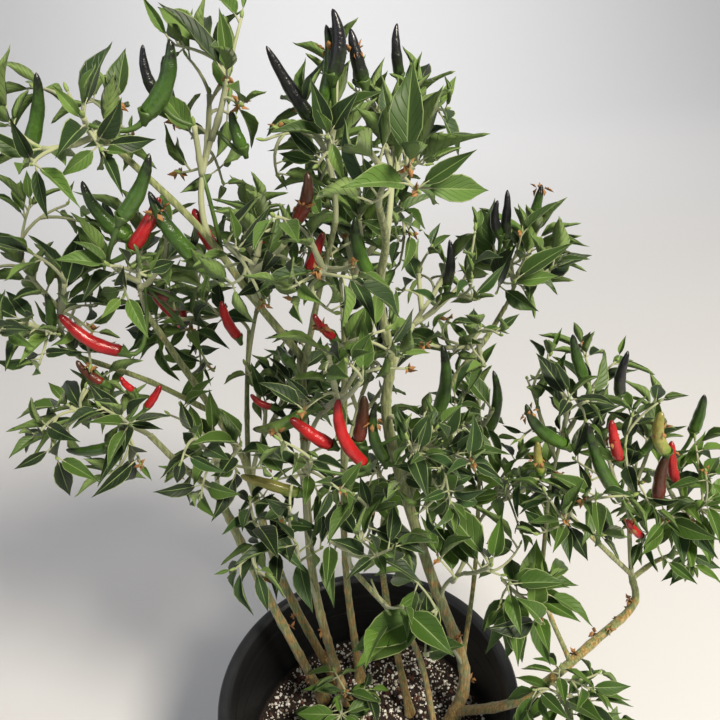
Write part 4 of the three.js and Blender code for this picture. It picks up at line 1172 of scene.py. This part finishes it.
LEAF_COLUMNS = np.array([-1, -0.93, -0.5, -0.05, 0.05, 0.5, 0.93, 1])
MIDRIB = abs(LEAF_COLUMNS) < 0.1
LEAF_STRIPS = ["edge", "upper", "upper", "vein", "upper", "upper", "edge"]
TRIED_COLUMNS = [0, 2, 3, 4, 5, 7]


def leaf_faces():
    """Faces of one leaf by kind, between its base, its tip, the upper rows and the rib under them."""
    rows, columns = len(LEAF_ROWS), len(LEAF_COLUMNS)
    upper = 2 + np.arange(rows * columns).reshape(rows, columns)
    rib = upper[-1, -1] + 1 + np.arange(rows)
    quads = {"upper": [], "vein": [], "edge": [], "under": []}
    fans = {kind: [] for kind in quads}
    for j, kind in enumerate(LEAF_STRIPS):
        fans[kind].append((0, upper[0, j], upper[0, j + 1]))
        fans[kind].append((1, upper[-1, j + 1], upper[-1, j]))
        for i in range(rows - 1):
            quads[kind].append((upper[i, j], upper[i + 1, j], upper[i + 1, j + 1], upper[i, j + 1]))
    left, right = upper[:, 0], upper[:, -1]
    for near, far in ((left, rib), (rib, right)):
        fans["under"] += [(0, far[0], near[0]), (1, near[-1], far[-1])]
        for i in range(rows - 1):
            quads["under"].append((near[i], far[i], far[i + 1], near[i + 1]))
    return {kind: (np.array(quads[kind]), np.array(fans[kind])) for kind in quads}


def leaf_corners(leaf):
    """Corners of one leaf in millimetres."""
    along, normal, length = leaf["along"], leaf["normal"], leaf["length"]
    side = np.cross(normal, along)
    petiole = LEAF["petiole"]
    u = petiole + (1 - petiole) * np.concatenate([[0, 1], LEAF_ROWS])
    spine = leaf["root"] + np.outer(u, along) * length
    spine = spine + np.outer(LEAF["lift"] * u - leaf["droop"] * u**2, normal) * length
    half = LEAF_WIDTHS * LEAF["width"] * length * leaf["wide"] / 2
    across = half[:, None] * LEAF_COLUMNS
    fold = leaf["fold"]
    wave = np.sin(LEAF_ROWS * LEAF["waves"] + leaf["phase"])[:, None] * LEAF_COLUMNS**2
    wave = wave * LEAF["wave_height"] * length
    cup = -LEAF["cup"] * np.abs(across) * np.abs(LEAF_COLUMNS) * math.sin(fold)
    up = np.abs(across) * math.sin(fold) + wave + cup - LEAF["groove"] * MIDRIB
    upper = spine[2:, None] + (across * math.cos(fold))[..., None] * side + up[..., None] * normal
    rib = spine[2:] - normal * (LEAF["thick"] + LEAF["groove"])
    return np.vstack([spine[:2], upper.reshape(-1, 3), rib])


def leaf_places():
    """Where each corner lies on the leaf: its share along and its share across."""
    u = np.repeat(LEAF_ROWS, len(LEAF_COLUMNS))
    v = np.tile(LEAF_COLUMNS, len(LEAF_ROWS))
    ends = np.array([[0, 0.5], [1, 0.5]])
    rib = np.stack([LEAF_ROWS, np.full(len(LEAF_ROWS), 0.5)], 1)
    return np.vstack([ends, np.stack([u, v / 2 + 0.5], 1), rib])


def leaf_at(mass, node, axis, start, out, size, random, scale):
    """A leaf at a node, turned to the light, with its own fold, arch and width."""
    open_angle = math.radians(node["open"] - LEAF_OPEN_RANGE * size)
    rise = np.interp(mass["centre"][2], LEAF_RISE["heights"], LEAF_RISE["lifts"])
    along = unit(axis * math.cos(open_angle) + out * math.sin(open_angle) + UP * rise)
    normal = turned(square_to(axis + UP, along), along, (random() - 0.5) * LEAF["roll"])
    length = mass["leaf"] * node["size"] * scale * (LEAF_SIZE_RANGE[0] + LEAF_SIZE_RANGE[1] * size)
    length *= LEAF_SCALES.get(mass["name"], 1)
    young = node["size"] < YOUNG_SIZE

    def within(least_and_range):
        least, reach = least_and_range
        return least + reach * random()

    fold = math.radians(within(LEAF["young_fold" if young else "fold"]))
    droop = LEAF["droop"] * within(LEAF["droops"]) * (LEAF["young_droop"] if young else 1)
    wide = within(LEAF["widths"]) * (LOW_LEAF["wider"] if mass["leaf"] > LOW_LEAF["over"] else 1)
    return {
        "root": start, "along": along, "normal": normal, "length": length, "fold": fold, "young": young,
        "droop": droop, "wide": wide, "phase": LEAF["phase"] * random(),
    }


def try_leaf(mass, leaf, own_line):
    """Keeps a leaf that fits: in its space, off wood and pods, and apart from other leaves and twigs."""
    corners = leaf_corners(leaf)
    columns = len(LEAF_COLUMNS)
    grid = corners[2 : 2 + len(LEAF_ROWS) * columns].reshape(-1, columns, 3)
    left, half_left, rib_left, rib_right, half_right, right = grid[:, TRIED_COLUMNS].swapaxes(0, 1)
    middle = (rib_left + rib_right) / 2
    samples = np.vstack([corners[1:2], left, half_left, middle, half_right, right])
    if not free(mass, samples, LEAF_SLACK, shown):
        return False
    if mass["name"] not in NEAREST and hides(samples, shown_limbs) and mass["random"]() < STEM_VIEW:
        return False
    outer = samples[np.linalg.norm(samples - leaf["root"], axis=1) > ROOT_LENGTH]
    taken = mass["taken"][: mass["filled"]]
    if len(taken) and (np.linalg.norm(outer[:, None] - taken, axis=2) < LEAF_SPACING).any():
        return False
    others = [line for line in mass["twig_lines"] if line is not own_line]
    if others and gap_to(outer, np.vstack(others)) < TWIG["clearance"]:
        return False
    mass["taken"][mass["filled"] : mass["filled"] + len(outer)] = outer
    mass["filled"] += len(outer)
    leaf["corners"] = corners
    mass["leaves"].append(leaf)
    return True


def leaf_a_twig(mass, twig, nodes, tuft, sizes):
    """Leaves at each node of a twig, then a tuft at its tip."""
    random = mass["random"]
    curve = twig["curve"]
    sizes = iter(sizes)
    for i, node in enumerate([*nodes, {**tuft, "share": 1}]):
        axis = heading(curve, node["share"])
        start = curve(node["share"])
        if node["share"] == 1:
            axis = unit(axis + twig["rise"] * UP)
        if i == len(nodes):
            start = start + axis * TUFT_ABOVE
        for out in ways_out(axis, twig["twist"] + i * math.pi / SIDE_LEAVES, SIDE_LEAVES):
            size = next(sizes, None)
            size = random() if size is None else size
            for turn, scale in LEAF_TRIES:
                leaf = leaf_at(mass, node, axis, start, turned(out, axis, turn), size, random, scale)
                if try_leaf(mass, leaf, twig["segments"]):
                    break


for mass in masses:
    twigs = grow_fine_twigs(mass)
    mass["taken"], mass["filled"], mass["leaves"] = np.empty((MOST_SAMPLES, 3)), 0, []
    shoots = mass["growth"]
    for twig in shoots + twigs:
        twig["segments"] = curve_segments(twig["curve"], twig["radii"])
    mass["twig_lines"] = [mass["stem_segments"]] + [twig["segments"] for twig in shoots + twigs]
    for shoot in shoots:
        leaf_a_twig(mass, shoot, NODES, TOP_NODE, shoot["sizes"])
    for twig in twigs:
        before = len(mass["leaves"])
        leaf_a_twig(mass, twig, TWIG_NODES, TUFT, [])
        twig["kept"] = len(mass["leaves"]) - before >= FINE_TWIG["fewest_leaves"]
        if not twig["kept"]:
            del mass["leaves"][before:]
    for twig in reversed(twigs):
        if twig["kept"] and twig["from"]:
            twig["from"]["kept"] = True
    mass["twigs"] = [twig for twig in twigs if twig["kept"]]

# Chilli leaf: soft, matt and downy above with a faint sheen, paler and net-veined below.
# The fine veins are pressed in as bump, 7 pairs to a leaf, and the down shows as a pale edge.
SIDE_VEINS = 7
VEIN_SLANT = -4.4
VEIN_WIDTH = 0.12
VEIN_DEPTH = 0.7
LEAF_FINISHES = {
    "leaf_underside": {"colours": ["#5f783b", "#6f864a"], "roughness": 0.7, "veins": 0.7},
    "leaf_midrib": {"colours": ["#6d824b"], "roughness": 0.6, "veins": 0.0},
    "leaf_downy_edge": {"colours": ["#83925f"], "roughness": 0.8, "veins": 0.0},
    "leaf_green": {"colours": ["#273d1b", "#334c1a", "#1e3214", "#415b22", "#18290e", "#2e4820"],
                   "roughness": 0.48, "veins": 0.45},
    "leaf_low": {"colours": ["#43611f", "#385419", "#527126"], "roughness": 0.48, "veins": 0.45},
    "leaf_young_and_lit": {"colours": ["#4f6d2b", "#5f7b36"], "roughness": 0.55, "veins": 0.6},
}
# Masses over this height give a share of their leaves the paler young greens, as painted light on the top of
# the plant.
YOUNG_AND_LIT_TOPS = {"over": 650, "share": 0.34}
LOW_TONES = {"under": 520, "share": 0.8}
NEAR_TONES = 3
FOLIAGE_EDGES = {"foliage_left": -50, "foliage_middle": 70, "foliage_right": math.inf}


def leaf_material(name, colour, roughness, veins):
    material = new_material(
        name, Base_Color=linear(colour), Roughness=roughness, Specular_IOR_Level=0.3,
        Sheen_Weight=0.07, Sheen_Roughness=0.5,
    )
    place = add_node(material, "UVMap", uv_map="along").outputs["UV"]
    split = add_node(material, "SeparateXYZ", {"Vector": place})
    across = add_node(material, "Math", {0: split.outputs["Y"], 1: 0.5}, operation="SUBTRACT")
    distance = add_node(material, "Math", {0: across.outputs["Value"]}, operation="ABSOLUTE")
    slant = add_node(material, "Math", {0: distance.outputs["Value"], 1: VEIN_SLANT}, operation="MULTIPLY")
    count = add_node(
        material, "Math", {0: split.outputs["X"], 1: SIDE_VEINS, 2: slant.outputs["Value"]},
        operation="MULTIPLY_ADD",
    )
    wave = add_node(material, "Math", {0: count.outputs["Value"], 1: 0.5}, operation="PINGPONG")
    vein = add_node(material, "MapRange", {"Value": wave.outputs["Value"]}, From_Min=0.0, From_Max=VEIN_WIDTH)
    press = add_node(
        material, "Bump", {"Height": vein.outputs["Result"]}, Strength=veins, Distance=VEIN_DEPTH * MM
    )
    link(material, press.outputs["Normal"], "Normal")
    return material


leaf_materials = []
leaf_slots = {}
for finish, looks in LEAF_FINISHES.items():
    leaf_slots[finish] = len(leaf_materials)
    for k, colour in enumerate(looks["colours"]):
        name = f"{finish}_{k}" if len(looks["colours"]) > 1 else finish
        leaf_materials.append(leaf_material(name, colour, looks["roughness"], looks["veins"]))


def tones(finish):
    return len(LEAF_FINISHES[finish]["colours"])


def paint_leaf(mass, leaf, dice):
    """The slots of a leaf's faces, by its age, its height and its spray."""
    height = mass["centre"][2]
    # Young leaves take the young greens, and so does a share of the top masses' leaves as painted light.
    if leaf["young"] or (height > YOUNG_AND_LIT_TOPS["over"] and dice.random() < YOUNG_AND_LIT_TOPS["share"]):
        upper = leaf_slots["leaf_young_and_lit"] + dice.integers(tones("leaf_young_and_lit"))
    elif height < LOW_TONES["under"] and dice.random() < LOW_TONES["share"]:
        upper = leaf_slots["leaf_low"] + dice.integers(tones("leaf_low"))
    else:
        tone = mass["tone"] + dice.integers(NEAR_TONES)
        upper = leaf_slots["leaf_green"] + tone % tones("leaf_green")
    under = leaf_slots["leaf_underside"] + dice.integers(tones("leaf_underside"))
    return {
        "upper": upper, "under": under, "vein": leaf_slots["leaf_midrib"],
        "edge": leaf_slots["leaf_downy_edge"],
    }


LEAF_FACES = leaf_faces()
LEAF_PLACES = leaf_places()
face_kinds = [kind for kind in LEAF_FACES for _ in LEAF_FACES[kind]]
face_groups = [group for groups in LEAF_FACES.values() for group in groups]
sprays = {name: [] for name in FOLIAGE_EDGES}
for mass in masses:
    name = next(name for name, edge in FOLIAGE_EDGES.items() if mass["centre"][0] < edge)
    sprays[name].append(mass)
dice = np.random.default_rng(seed=11)
for name, group in sprays.items():
    joined = Joined()
    for mass in group:
        mass["tone"] = dice.integers(tones("leaf_green"))
        for leaf in mass["leaves"]:
            slots = paint_leaf(mass, leaf, dice)
            joined.add(leaf["corners"], face_groups, [slots[kind] for kind in face_kinds], LEAF_PLACES)
    nodes = ["leaves_" + mass["name"] for mass in group]
    add_piece(name, joined.mesh(name), leaf_materials, nodes)


# Twigs and leaf stalks
# Pale downy green wood: the masses' own stems, their shoots and side twigs, and a stalk under each leaf.
TWIG_SIDES = 6
MASS_STEM_STEPS = 10
STEM_SINK = 1.5
SHOOT_STEPS = 8
SHOOT_RADII = (2.2, 1.45)
NODE_SWELL = {"height": 0.3, "half": 0.05}
PETIOLE = {
    "sides": 4, "shares": np.array([0, 0.5, 1, 1.6]), "widths": np.array([1.15, 0.9, 0.8, 0.45]),
    "radius": 0.35, "by_length": 0.011, "under": 0.45,
}


def rings_round(points, first, other, radii, sides):
    """Corners and faces of a tube whose rings lie in the planes of first and other, capped at each end."""
    angles = 2 * np.pi * np.arange(sides) / sides
    ring = first[:, None] * np.cos(angles)[:, None] + other[:, None] * np.sin(angles)[:, None]
    corners = points[:, None] + ring * np.asarray(radii)[:, None, None]
    index = np.arange(len(points) * sides).reshape(len(points), sides)
    after = np.roll(index, -1, axis=1)
    quads = np.stack([index[:-1], after[:-1], after[1:], index[1:]], 2).reshape(-1, 4)
    caps = np.stack([index[0][::-1], index[-1]])
    return corners.reshape(-1, 3), [quads, caps]


def tube(points, radii, sides):
    """Corners and faces of a round tube through points."""
    ways, first = frames_along(points)
    return rings_round(points, first, np.cross(ways, first), radii, sides)


def petiole_tube(leaf):
    """The stalk under a leaf, along the same arch as the blade and a little way under its midrib."""
    u = PETIOLE["shares"] * LEAF["petiole"]
    line = leaf["root"] + np.outer(u, leaf["along"]) * leaf["length"]
    line += np.outer(LEAF["lift"] * u - leaf["droop"] * u**2, leaf["normal"]) * leaf["length"]
    line[-1] -= leaf["normal"] * PETIOLE["under"]
    thick = PETIOLE["radius"] + PETIOLE["by_length"] * leaf["length"]
    return tube(line, thick * PETIOLE["widths"], PETIOLE["sides"])


node_shares = np.array([node["share"] for node in NODES])
from_nodes = node_shares[:, None] - taper((0, 1), SHOOT_STEPS)
swell = 1 + NODE_SWELL["height"] * np.exp(-((from_nodes / NODE_SWELL["half"]) ** 2)).sum(0)
shoot_radii = taper(SHOOT_RADII, SHOOT_STEPS) * swell
twigs = Joined()
for mass in masses:
    stem = mass["stem"]
    base = limbs[mass["on"]]["curve"](mass["at"])
    sunk = base - STEM_SINK * heading(stem["curve"], 0)
    line = np.vstack([[sunk], line_of(stem["curve"], MASS_STEM_STEPS)])
    radii = np.concatenate([[stem["radii"][0]], taper(stem["radii"], MASS_STEM_STEPS)])
    twigs.add(*tube(line, radii, TWIG_SIDES))
    for shoot in mass["growth"]:
        twigs.add(*tube(line_of(shoot["curve"], SHOOT_STEPS), shoot_radii, TWIG_SIDES))
    for twig in mass["twigs"]:
        line = line_of(twig["curve"], FINE_TWIG["steps"])
        twigs.add(*tube(line, taper(twig["radii"], FINE_TWIG["steps"]), TWIG_SIDES))
    for leaf in mass["leaves"]:
        twigs.add(*petiole_tube(leaf))

# Young chilli wood: pale grey-green, rough with short white down.
twig_green = new_material(
    "downy_green_twig", Base_Color=linear("#9aa077"), Roughness=0.75, Sheen_Weight=0.3, Sheen_Roughness=0.6
)
roughen(twig_green, scale=900, detail=2, strength=0.5, depth=0.4)
add_piece("twigs", twigs.mesh("twigs"), [twig_green])


# Pod skins
# Smooth waxy skin over thin flesh, slightly lumped by the seeds, drawn out to a point.
POD_SHARES = np.array([0, 0.02, 0.06, 0.12, 0.2, 0.3, 0.4, 0.5, 0.6, 0.7, 0.79, 0.87, 0.93, 0.975, 1])
POD_WIDTHS = np.array([0.5, 0.8, 0.91, 0.97, 1, 1, 0.99, 0.97, 0.94, 0.9, 0.85, 0.77, 0.64, 0.4, 0.05])
POD_TAPER = {"red": 0.22, "green": 0.45, "black": 0.5, "brown": 0.3, "pale": 0.4, "bronze": 0.2}
POD_SIDES = 14
BOW_SPREAD = 0.7
SWAY = {"width": 0.035, "waves": 5}
SEED_LUMPS = {"height": 0.05, "waves": 19}
BLOTCH = 0.28
SKINS = {
    "red": ((0.0, "#9c1218"), (0.6, "#b61d1f"), (1.0, "#7e0e13")),
    "green": ((0.0, "#466720"), (0.5, "#37551c"), (0.8, "#2a3f18"), (0.95, "#181b14")),
    "black": ((0.0, "#344f1e"), (0.2, "#242f1a"), (0.4, "#191a1b"), (1.0, "#121118")),
    "brown": ((0.0, "#6c2214"), (0.5, "#4b2413"), (1.0, "#3d2816")),
    "pale": ((0.0, "#416b20"), (0.5, "#7c9846"), (0.85, "#5a6835"), (1.0, "#2b2d1d")),
    "bronze": ((0.0, "#6d8830"), (0.4, "#a09a4e"), (1.0, "#807c3a")),
}


def pod_material(ripeness, stops):
    """Waxy pod skin that darkens along the pod by its map, in blotches."""
    material = new_material(
        "pod_skin_" + ripeness, Roughness=0.32, IOR=1.45, Coat_Weight=0.25, Coat_Roughness=0.12
    )
    place = add_node(material, "UVMap", uv_map="along").outputs["UV"]
    along = add_node(material, "SeparateXYZ", {"Vector": place}).outputs["X"]
    blotches = add_node(
        material, "TexNoise", {"Vector": object_place(material)}, Scale=110.0, Detail=4.0, Roughness=0.65
    )
    shifted = add_node(
        material, "MapRange", {"Value": blotches.outputs["Fac"]},
        From_Min=0.3, From_Max=0.7, To_Min=-BLOTCH, To_Max=BLOTCH,
    )
    mottled = add_node(material, "Math", {0: along, 1: shifted.outputs["Result"]}, operation="ADD")
    link(material, ramp(material, mottled.outputs["Value"], *stops), "Base Color")
    roughen(material, scale=240, detail=3, strength=0.7, depth=1.4, roughness=0.6)
    return material


pod_materials = [pod_material(ripeness, stops) for ripeness, stops in SKINS.items()]
round_shares = np.arange(POD_SIDES) / POD_SIDES
places = np.stack([np.repeat(POD_SHARES, POD_SIDES), np.tile(round_shares, len(POD_SHARES))], 1)
shares = POD_SHARES[:, None]
skins = Joined()
for k, pod in enumerate(pods):
    bow = 4 * POD["bow"] * (1 + BOW_SPREAD * math.sin(2 * k)) * shares * (1 - shares) * pod["length"]
    sway = SWAY["width"] * np.sin(shares * SWAY["waves"] + k) * shares * pod["length"]
    straight = pod["line"][0] + pod["axis"] * shares * pod["length"]
    middle = straight - pod["side"] * bow + pod["across"] * sway
    lumpy = 1 + SEED_LUMPS["height"] * np.sin(POD_SHARES * SEED_LUMPS["waves"] + 2 * k)
    drawn_out = 1 - POD_TAPER[pod["ripeness"]] * POD_SHARES**2
    corners, faces = tube(middle, POD_WIDTHS * drawn_out * pod["radius"] * lumpy, POD_SIDES)
    skins.add(corners, faces, list(SKINS).index(pod["ripeness"]), places)
add_piece("pods", skins.mesh("pods"), pod_materials)


# Stalks and cups
# Each pod hangs by a green stalk that widens into a shallow cup over its shoulder.
STALK_RADII = (1.3, 1.9)
STALK_STEPS = 8
STALK_SIDES = 8
CUP_SHARES = np.array([-0.16, -0.09, -0.04, 0.0, 0.03, 0.03, 0.01])
CUP_WIDTHS = np.array([0.36, 0.5, 0.74, 0.93, 1.02, 0.96, 0.6])
CUP_SIDES = 10
CUP_EDGE = 4
CUP_TEETH = (-0.3, 0.9)
SHORTEST_FOR_CUP = 40

stalks = Joined()
teeth = np.tile(CUP_TEETH, CUP_SIDES // 2)[:, None]
for pod in pods:
    stalks.add(*tube(line_of(pod["stalk"], STALK_STEPS), taper(STALK_RADII, STALK_STEPS), STALK_SIDES))
    cup = pod["line"][0] + pod["axis"] * CUP_SHARES[:, None] * max(pod["length"], SHORTEST_FOR_CUP)
    side, across = np.broadcast_to(pod["side"], cup.shape), np.broadcast_to(pod["across"], cup.shape)
    corners, faces = rings_round(cup, side, across, CUP_WIDTHS * pod["radius"], CUP_SIDES)
    corners[CUP_EDGE * CUP_SIDES : (CUP_EDGE + 1) * CUP_SIDES] += teeth * pod["axis"]
    stalks.add(corners, faces)

# Green fruit stalk: smooth, fleshy and a little glossy.
stalk_green = new_material("fruit_stalk", Base_Color=linear("#466026"), Roughness=0.48)
roughen(stalk_green, scale=500, detail=2, strength=0.3, depth=0.5)
add_piece("stalks", stalks.mesh("stalks"), [stalk_green])


# Buds and withered flowers
# A green bud closes each twig, and papery tan petals still cling near some nodes.
BUD_SHARES = np.array([0, 0.15, 0.4, 0.7, 0.9, 1])
BUD_WIDTHS = np.array([0.5, 0.9, 1.1, 0.9, 0.5, 0.06])
BUD = {"length": (3.5, 6.5), "radius": (0.9, 1.5), "sides": 6, "rise": 0.5}
WITHERED = {"share": 0.2, "petals": (4, 8), "size": (2, 3.8), "off_tip": 2, "off_limb": 1.5}
COLLAR = {
    "share": 0.28, "at": (0.3, 0.95), "petals": 9, "size": (2, 3.6), "uneven": 0.3, "out": (0.1, 0.6),
    "inset": 0.75,
}
PETAL_THICK = 0.25
LIMB_SCRAPS = {
    "bough_low": (0.42, 0.5, 0.56, 0.62, 0.7, 0.78), "stem_left": (0.12, 0.3, 0.5),
    "stem_centre": (0.2, 0.33, 0.4), "stem_main": (0.12, 0.22, 0.35), "stem_rear_left": (0.35,),
}
PETAL = np.array([[0, 0, 0], [1, 0.6, 0.3], [2.1, 0.2, -0.2], [1, -0.5, 0.35], [1, 0, -0.15]])
PETAL_FACES = [
    np.array([[0, 1, 4], [1, 2, 4], [2, 3, 4], [3, 0, 4], [6, 5, 9], [7, 6, 9], [8, 7, 9], [5, 8, 9]]),
    np.array([[1, 0, 5, 6], [2, 1, 6, 7], [3, 2, 7, 8], [0, 3, 8, 5]]),
]


def petal(size):
    """Corners of one crumpled petal, as a thin closed shell."""
    return np.vstack([PETAL * size + [0, 0, PETAL_THICK], PETAL * size])


def scatter_petals(place, dice):
    """A tuft of withered petals turned every way."""
    for turn in random_turns(dice.integers(*WITHERED["petals"]), dice):
        scraps.add(petal(dice.uniform(*WITHERED["size"])) @ turn.T + place, PETAL_FACES)


buds = Joined()
scraps = Joined()
dice = np.random.default_rng(seed=23)
for mass in masses:
    for twig in mass["twigs"] + mass["growth"]:
        tip = twig["curve"](1)
        way = unit(heading(twig["curve"], 1) + BUD["rise"] * UP)
        line = tip + np.outer(BUD_SHARES, way) * dice.uniform(*BUD["length"])
        buds.add(*tube(line, BUD_WIDTHS * dice.uniform(*BUD["radius"]), BUD["sides"]))
        if dice.random() <= WITHERED["share"]:
            scatter_petals(tip + way * WITHERED["off_tip"], dice)
for pod in pods:
    if dice.random() > COLLAR["share"]:
        continue
    base, tip = pod["line"][0], pod["line"][-1]
    centre = base + (tip - base) * dice.uniform(*COLLAR["at"]) - pod["side"] * POD["bow"] * pod["length"]
    for turn in np.linspace(0, 2 * math.pi, COLLAR["petals"], endpoint=False):
        angle = turn + dice.uniform(-COLLAR["uneven"], COLLAR["uneven"])
        out = pod["side"] * math.cos(angle) + pod["across"] * math.sin(angle)
        way = unit(out * dice.uniform(*COLLAR["out"]) + pod["axis"] * dice.uniform(-1, 1))
        wide = unit(np.cross(pod["axis"], out))
        axes = np.array([way, wide, np.cross(way, wide)])
        root = centre + out * pod["radius"] * COLLAR["inset"]
        scraps.add(petal(dice.uniform(*COLLAR["size"])) @ axes + root, PETAL_FACES)
for name, shares in LIMB_SCRAPS.items():
    for share in shares:
        limb = limbs[name]
        out = square_to(dice.normal(size=3), heading(limb["curve"], share))
        root = limb["curve"](share) + out * limb_radius(limb, share)
        scatter_petals(root + out * WITHERED["off_limb"], dice)

# Soft green buds, and withered petals: dry, papery and tan.
bud_green = new_material("flower_bud", Base_Color=linear("#7b9148"), Roughness=0.6, Sheen_Weight=0.2)
petal_tan = new_material("withered_petal", Base_Color=linear("#9a7043"), Roughness=0.85)
for material in (bud_green, petal_tan):
    roughen(material, scale=700, detail=2, strength=0.5, depth=0.5)
add_piece("buds", buds.mesh("buds"), [bud_green])
add_piece("withered_petals", scraps.mesh("withered_petals"), [petal_tan])


# Floor and backdrop
# A plain pale studio sweep: a wide floor that curves up into a wall far behind the plant.
SWEEP = {"near": -9, "turn": 4, "radius": 2.5, "height": 9, "half_width": 14, "steps": 16}
LOOKS_DOWN = -0.5
outline = [(SWEEP["near"], 0)]
for k in range(SWEEP["steps"] + 1):
    angle = math.pi / 2 * k / SWEEP["steps"]
    out, up = math.sin(angle), 1 - math.cos(angle)
    outline.append((SWEEP["turn"] + SWEEP["radius"] * out, SWEEP["radius"] * up))
outline.append((SWEEP["turn"] + SWEEP["radius"], SWEEP["height"]))
bm = bmesh.new()
corners = [bm.verts.new((-SWEEP["half_width"], y, z)) for y, z in outline]
edges = [bm.edges.new(pair) for pair in zip(corners, corners[1:])]
swept = bmesh.ops.extrude_edge_only(bm, edges=edges)
moved = [item for item in swept["geom"] if isinstance(item, bmesh.types.BMVert)]
bmesh.ops.translate(bm, vec=(2 * SWEEP["half_width"], 0, 0), verts=moved)
bm.normal_update()
if min(face.normal.z for face in bm.faces) < LOOKS_DOWN:
    bmesh.ops.reverse_faces(bm, faces=bm.faces)
sweep = bpy.data.objects.new("studio_sweep", to_mesh(bm, "studio_sweep"))
bpy.context.collection.objects.link(sweep)
sweep_paint = new_material("sweep_paint", Base_Color=linear("#dfdfe0"), Roughness=0.85)
sweep.data.materials.append(sweep_paint)


# Light
# Soft daylight from high on the right, a weak fill from the left, one lamp for the wall behind the plant
# and an even pale surround.
PLANT_MIDDLE = (0, 0, 0.55)
WALL_FOOT = (0, 6.2, 0.4)


def add_light(name, place, aim, size, power, colour):
    lamp = bpy.data.lights.new(name, "AREA")
    lamp.shape = "DISK"
    lamp.size = size
    lamp.energy = power
    lamp.color = linear(colour)[:3]
    light = bpy.data.objects.new(name, lamp)
    light.location = place
    light.rotation_euler = (Vector(aim) - Vector(place)).to_track_quat("-Z", "Y").to_euler()
    bpy.context.collection.objects.link(light)


add_light("key", (1.2, -1.3, 2.5), PLANT_MIDDLE, size=0.7, power=109, colour="#fff5e4")
add_light("fill", (-1.8, -1.6, 1.5), PLANT_MIDDLE, size=1.8, power=8, colour="#eef2ff")
add_light("wall", (0, 3.2, 3.4), WALL_FOOT, size=2.5, power=100, colour="#ffffff")
world = bpy.data.worlds.new("studio")
bpy.context.scene.world = world
world.use_nodes = True
surround = world.node_tree.nodes["Background"]
surround.inputs["Color"].default_value = linear("#e6e7ea")
surround.inputs["Strength"].default_value = 0.34
bpy.context.scene.view_settings.view_transform = "Standard"


# Camera
# Close and a little above the crown, looking down through the leaves into the pot.
camera = bpy.data.objects.new("camera", bpy.data.cameras.new("camera"))
camera.data.sensor_width = CAMERA["sensor"]
camera.data.lens = CAMERA["lens"]
camera.data.clip_start = 0.01
camera.location = [c * MM for c in CAMERA["place"]]
camera.rotation_mode = "ZYX"
camera.rotation_euler = (math.radians(90 - CAMERA["down"]), 0, math.radians(CAMERA["roll"]))
bpy.context.collection.objects.link(camera)
bpy.context.scene.camera = camera
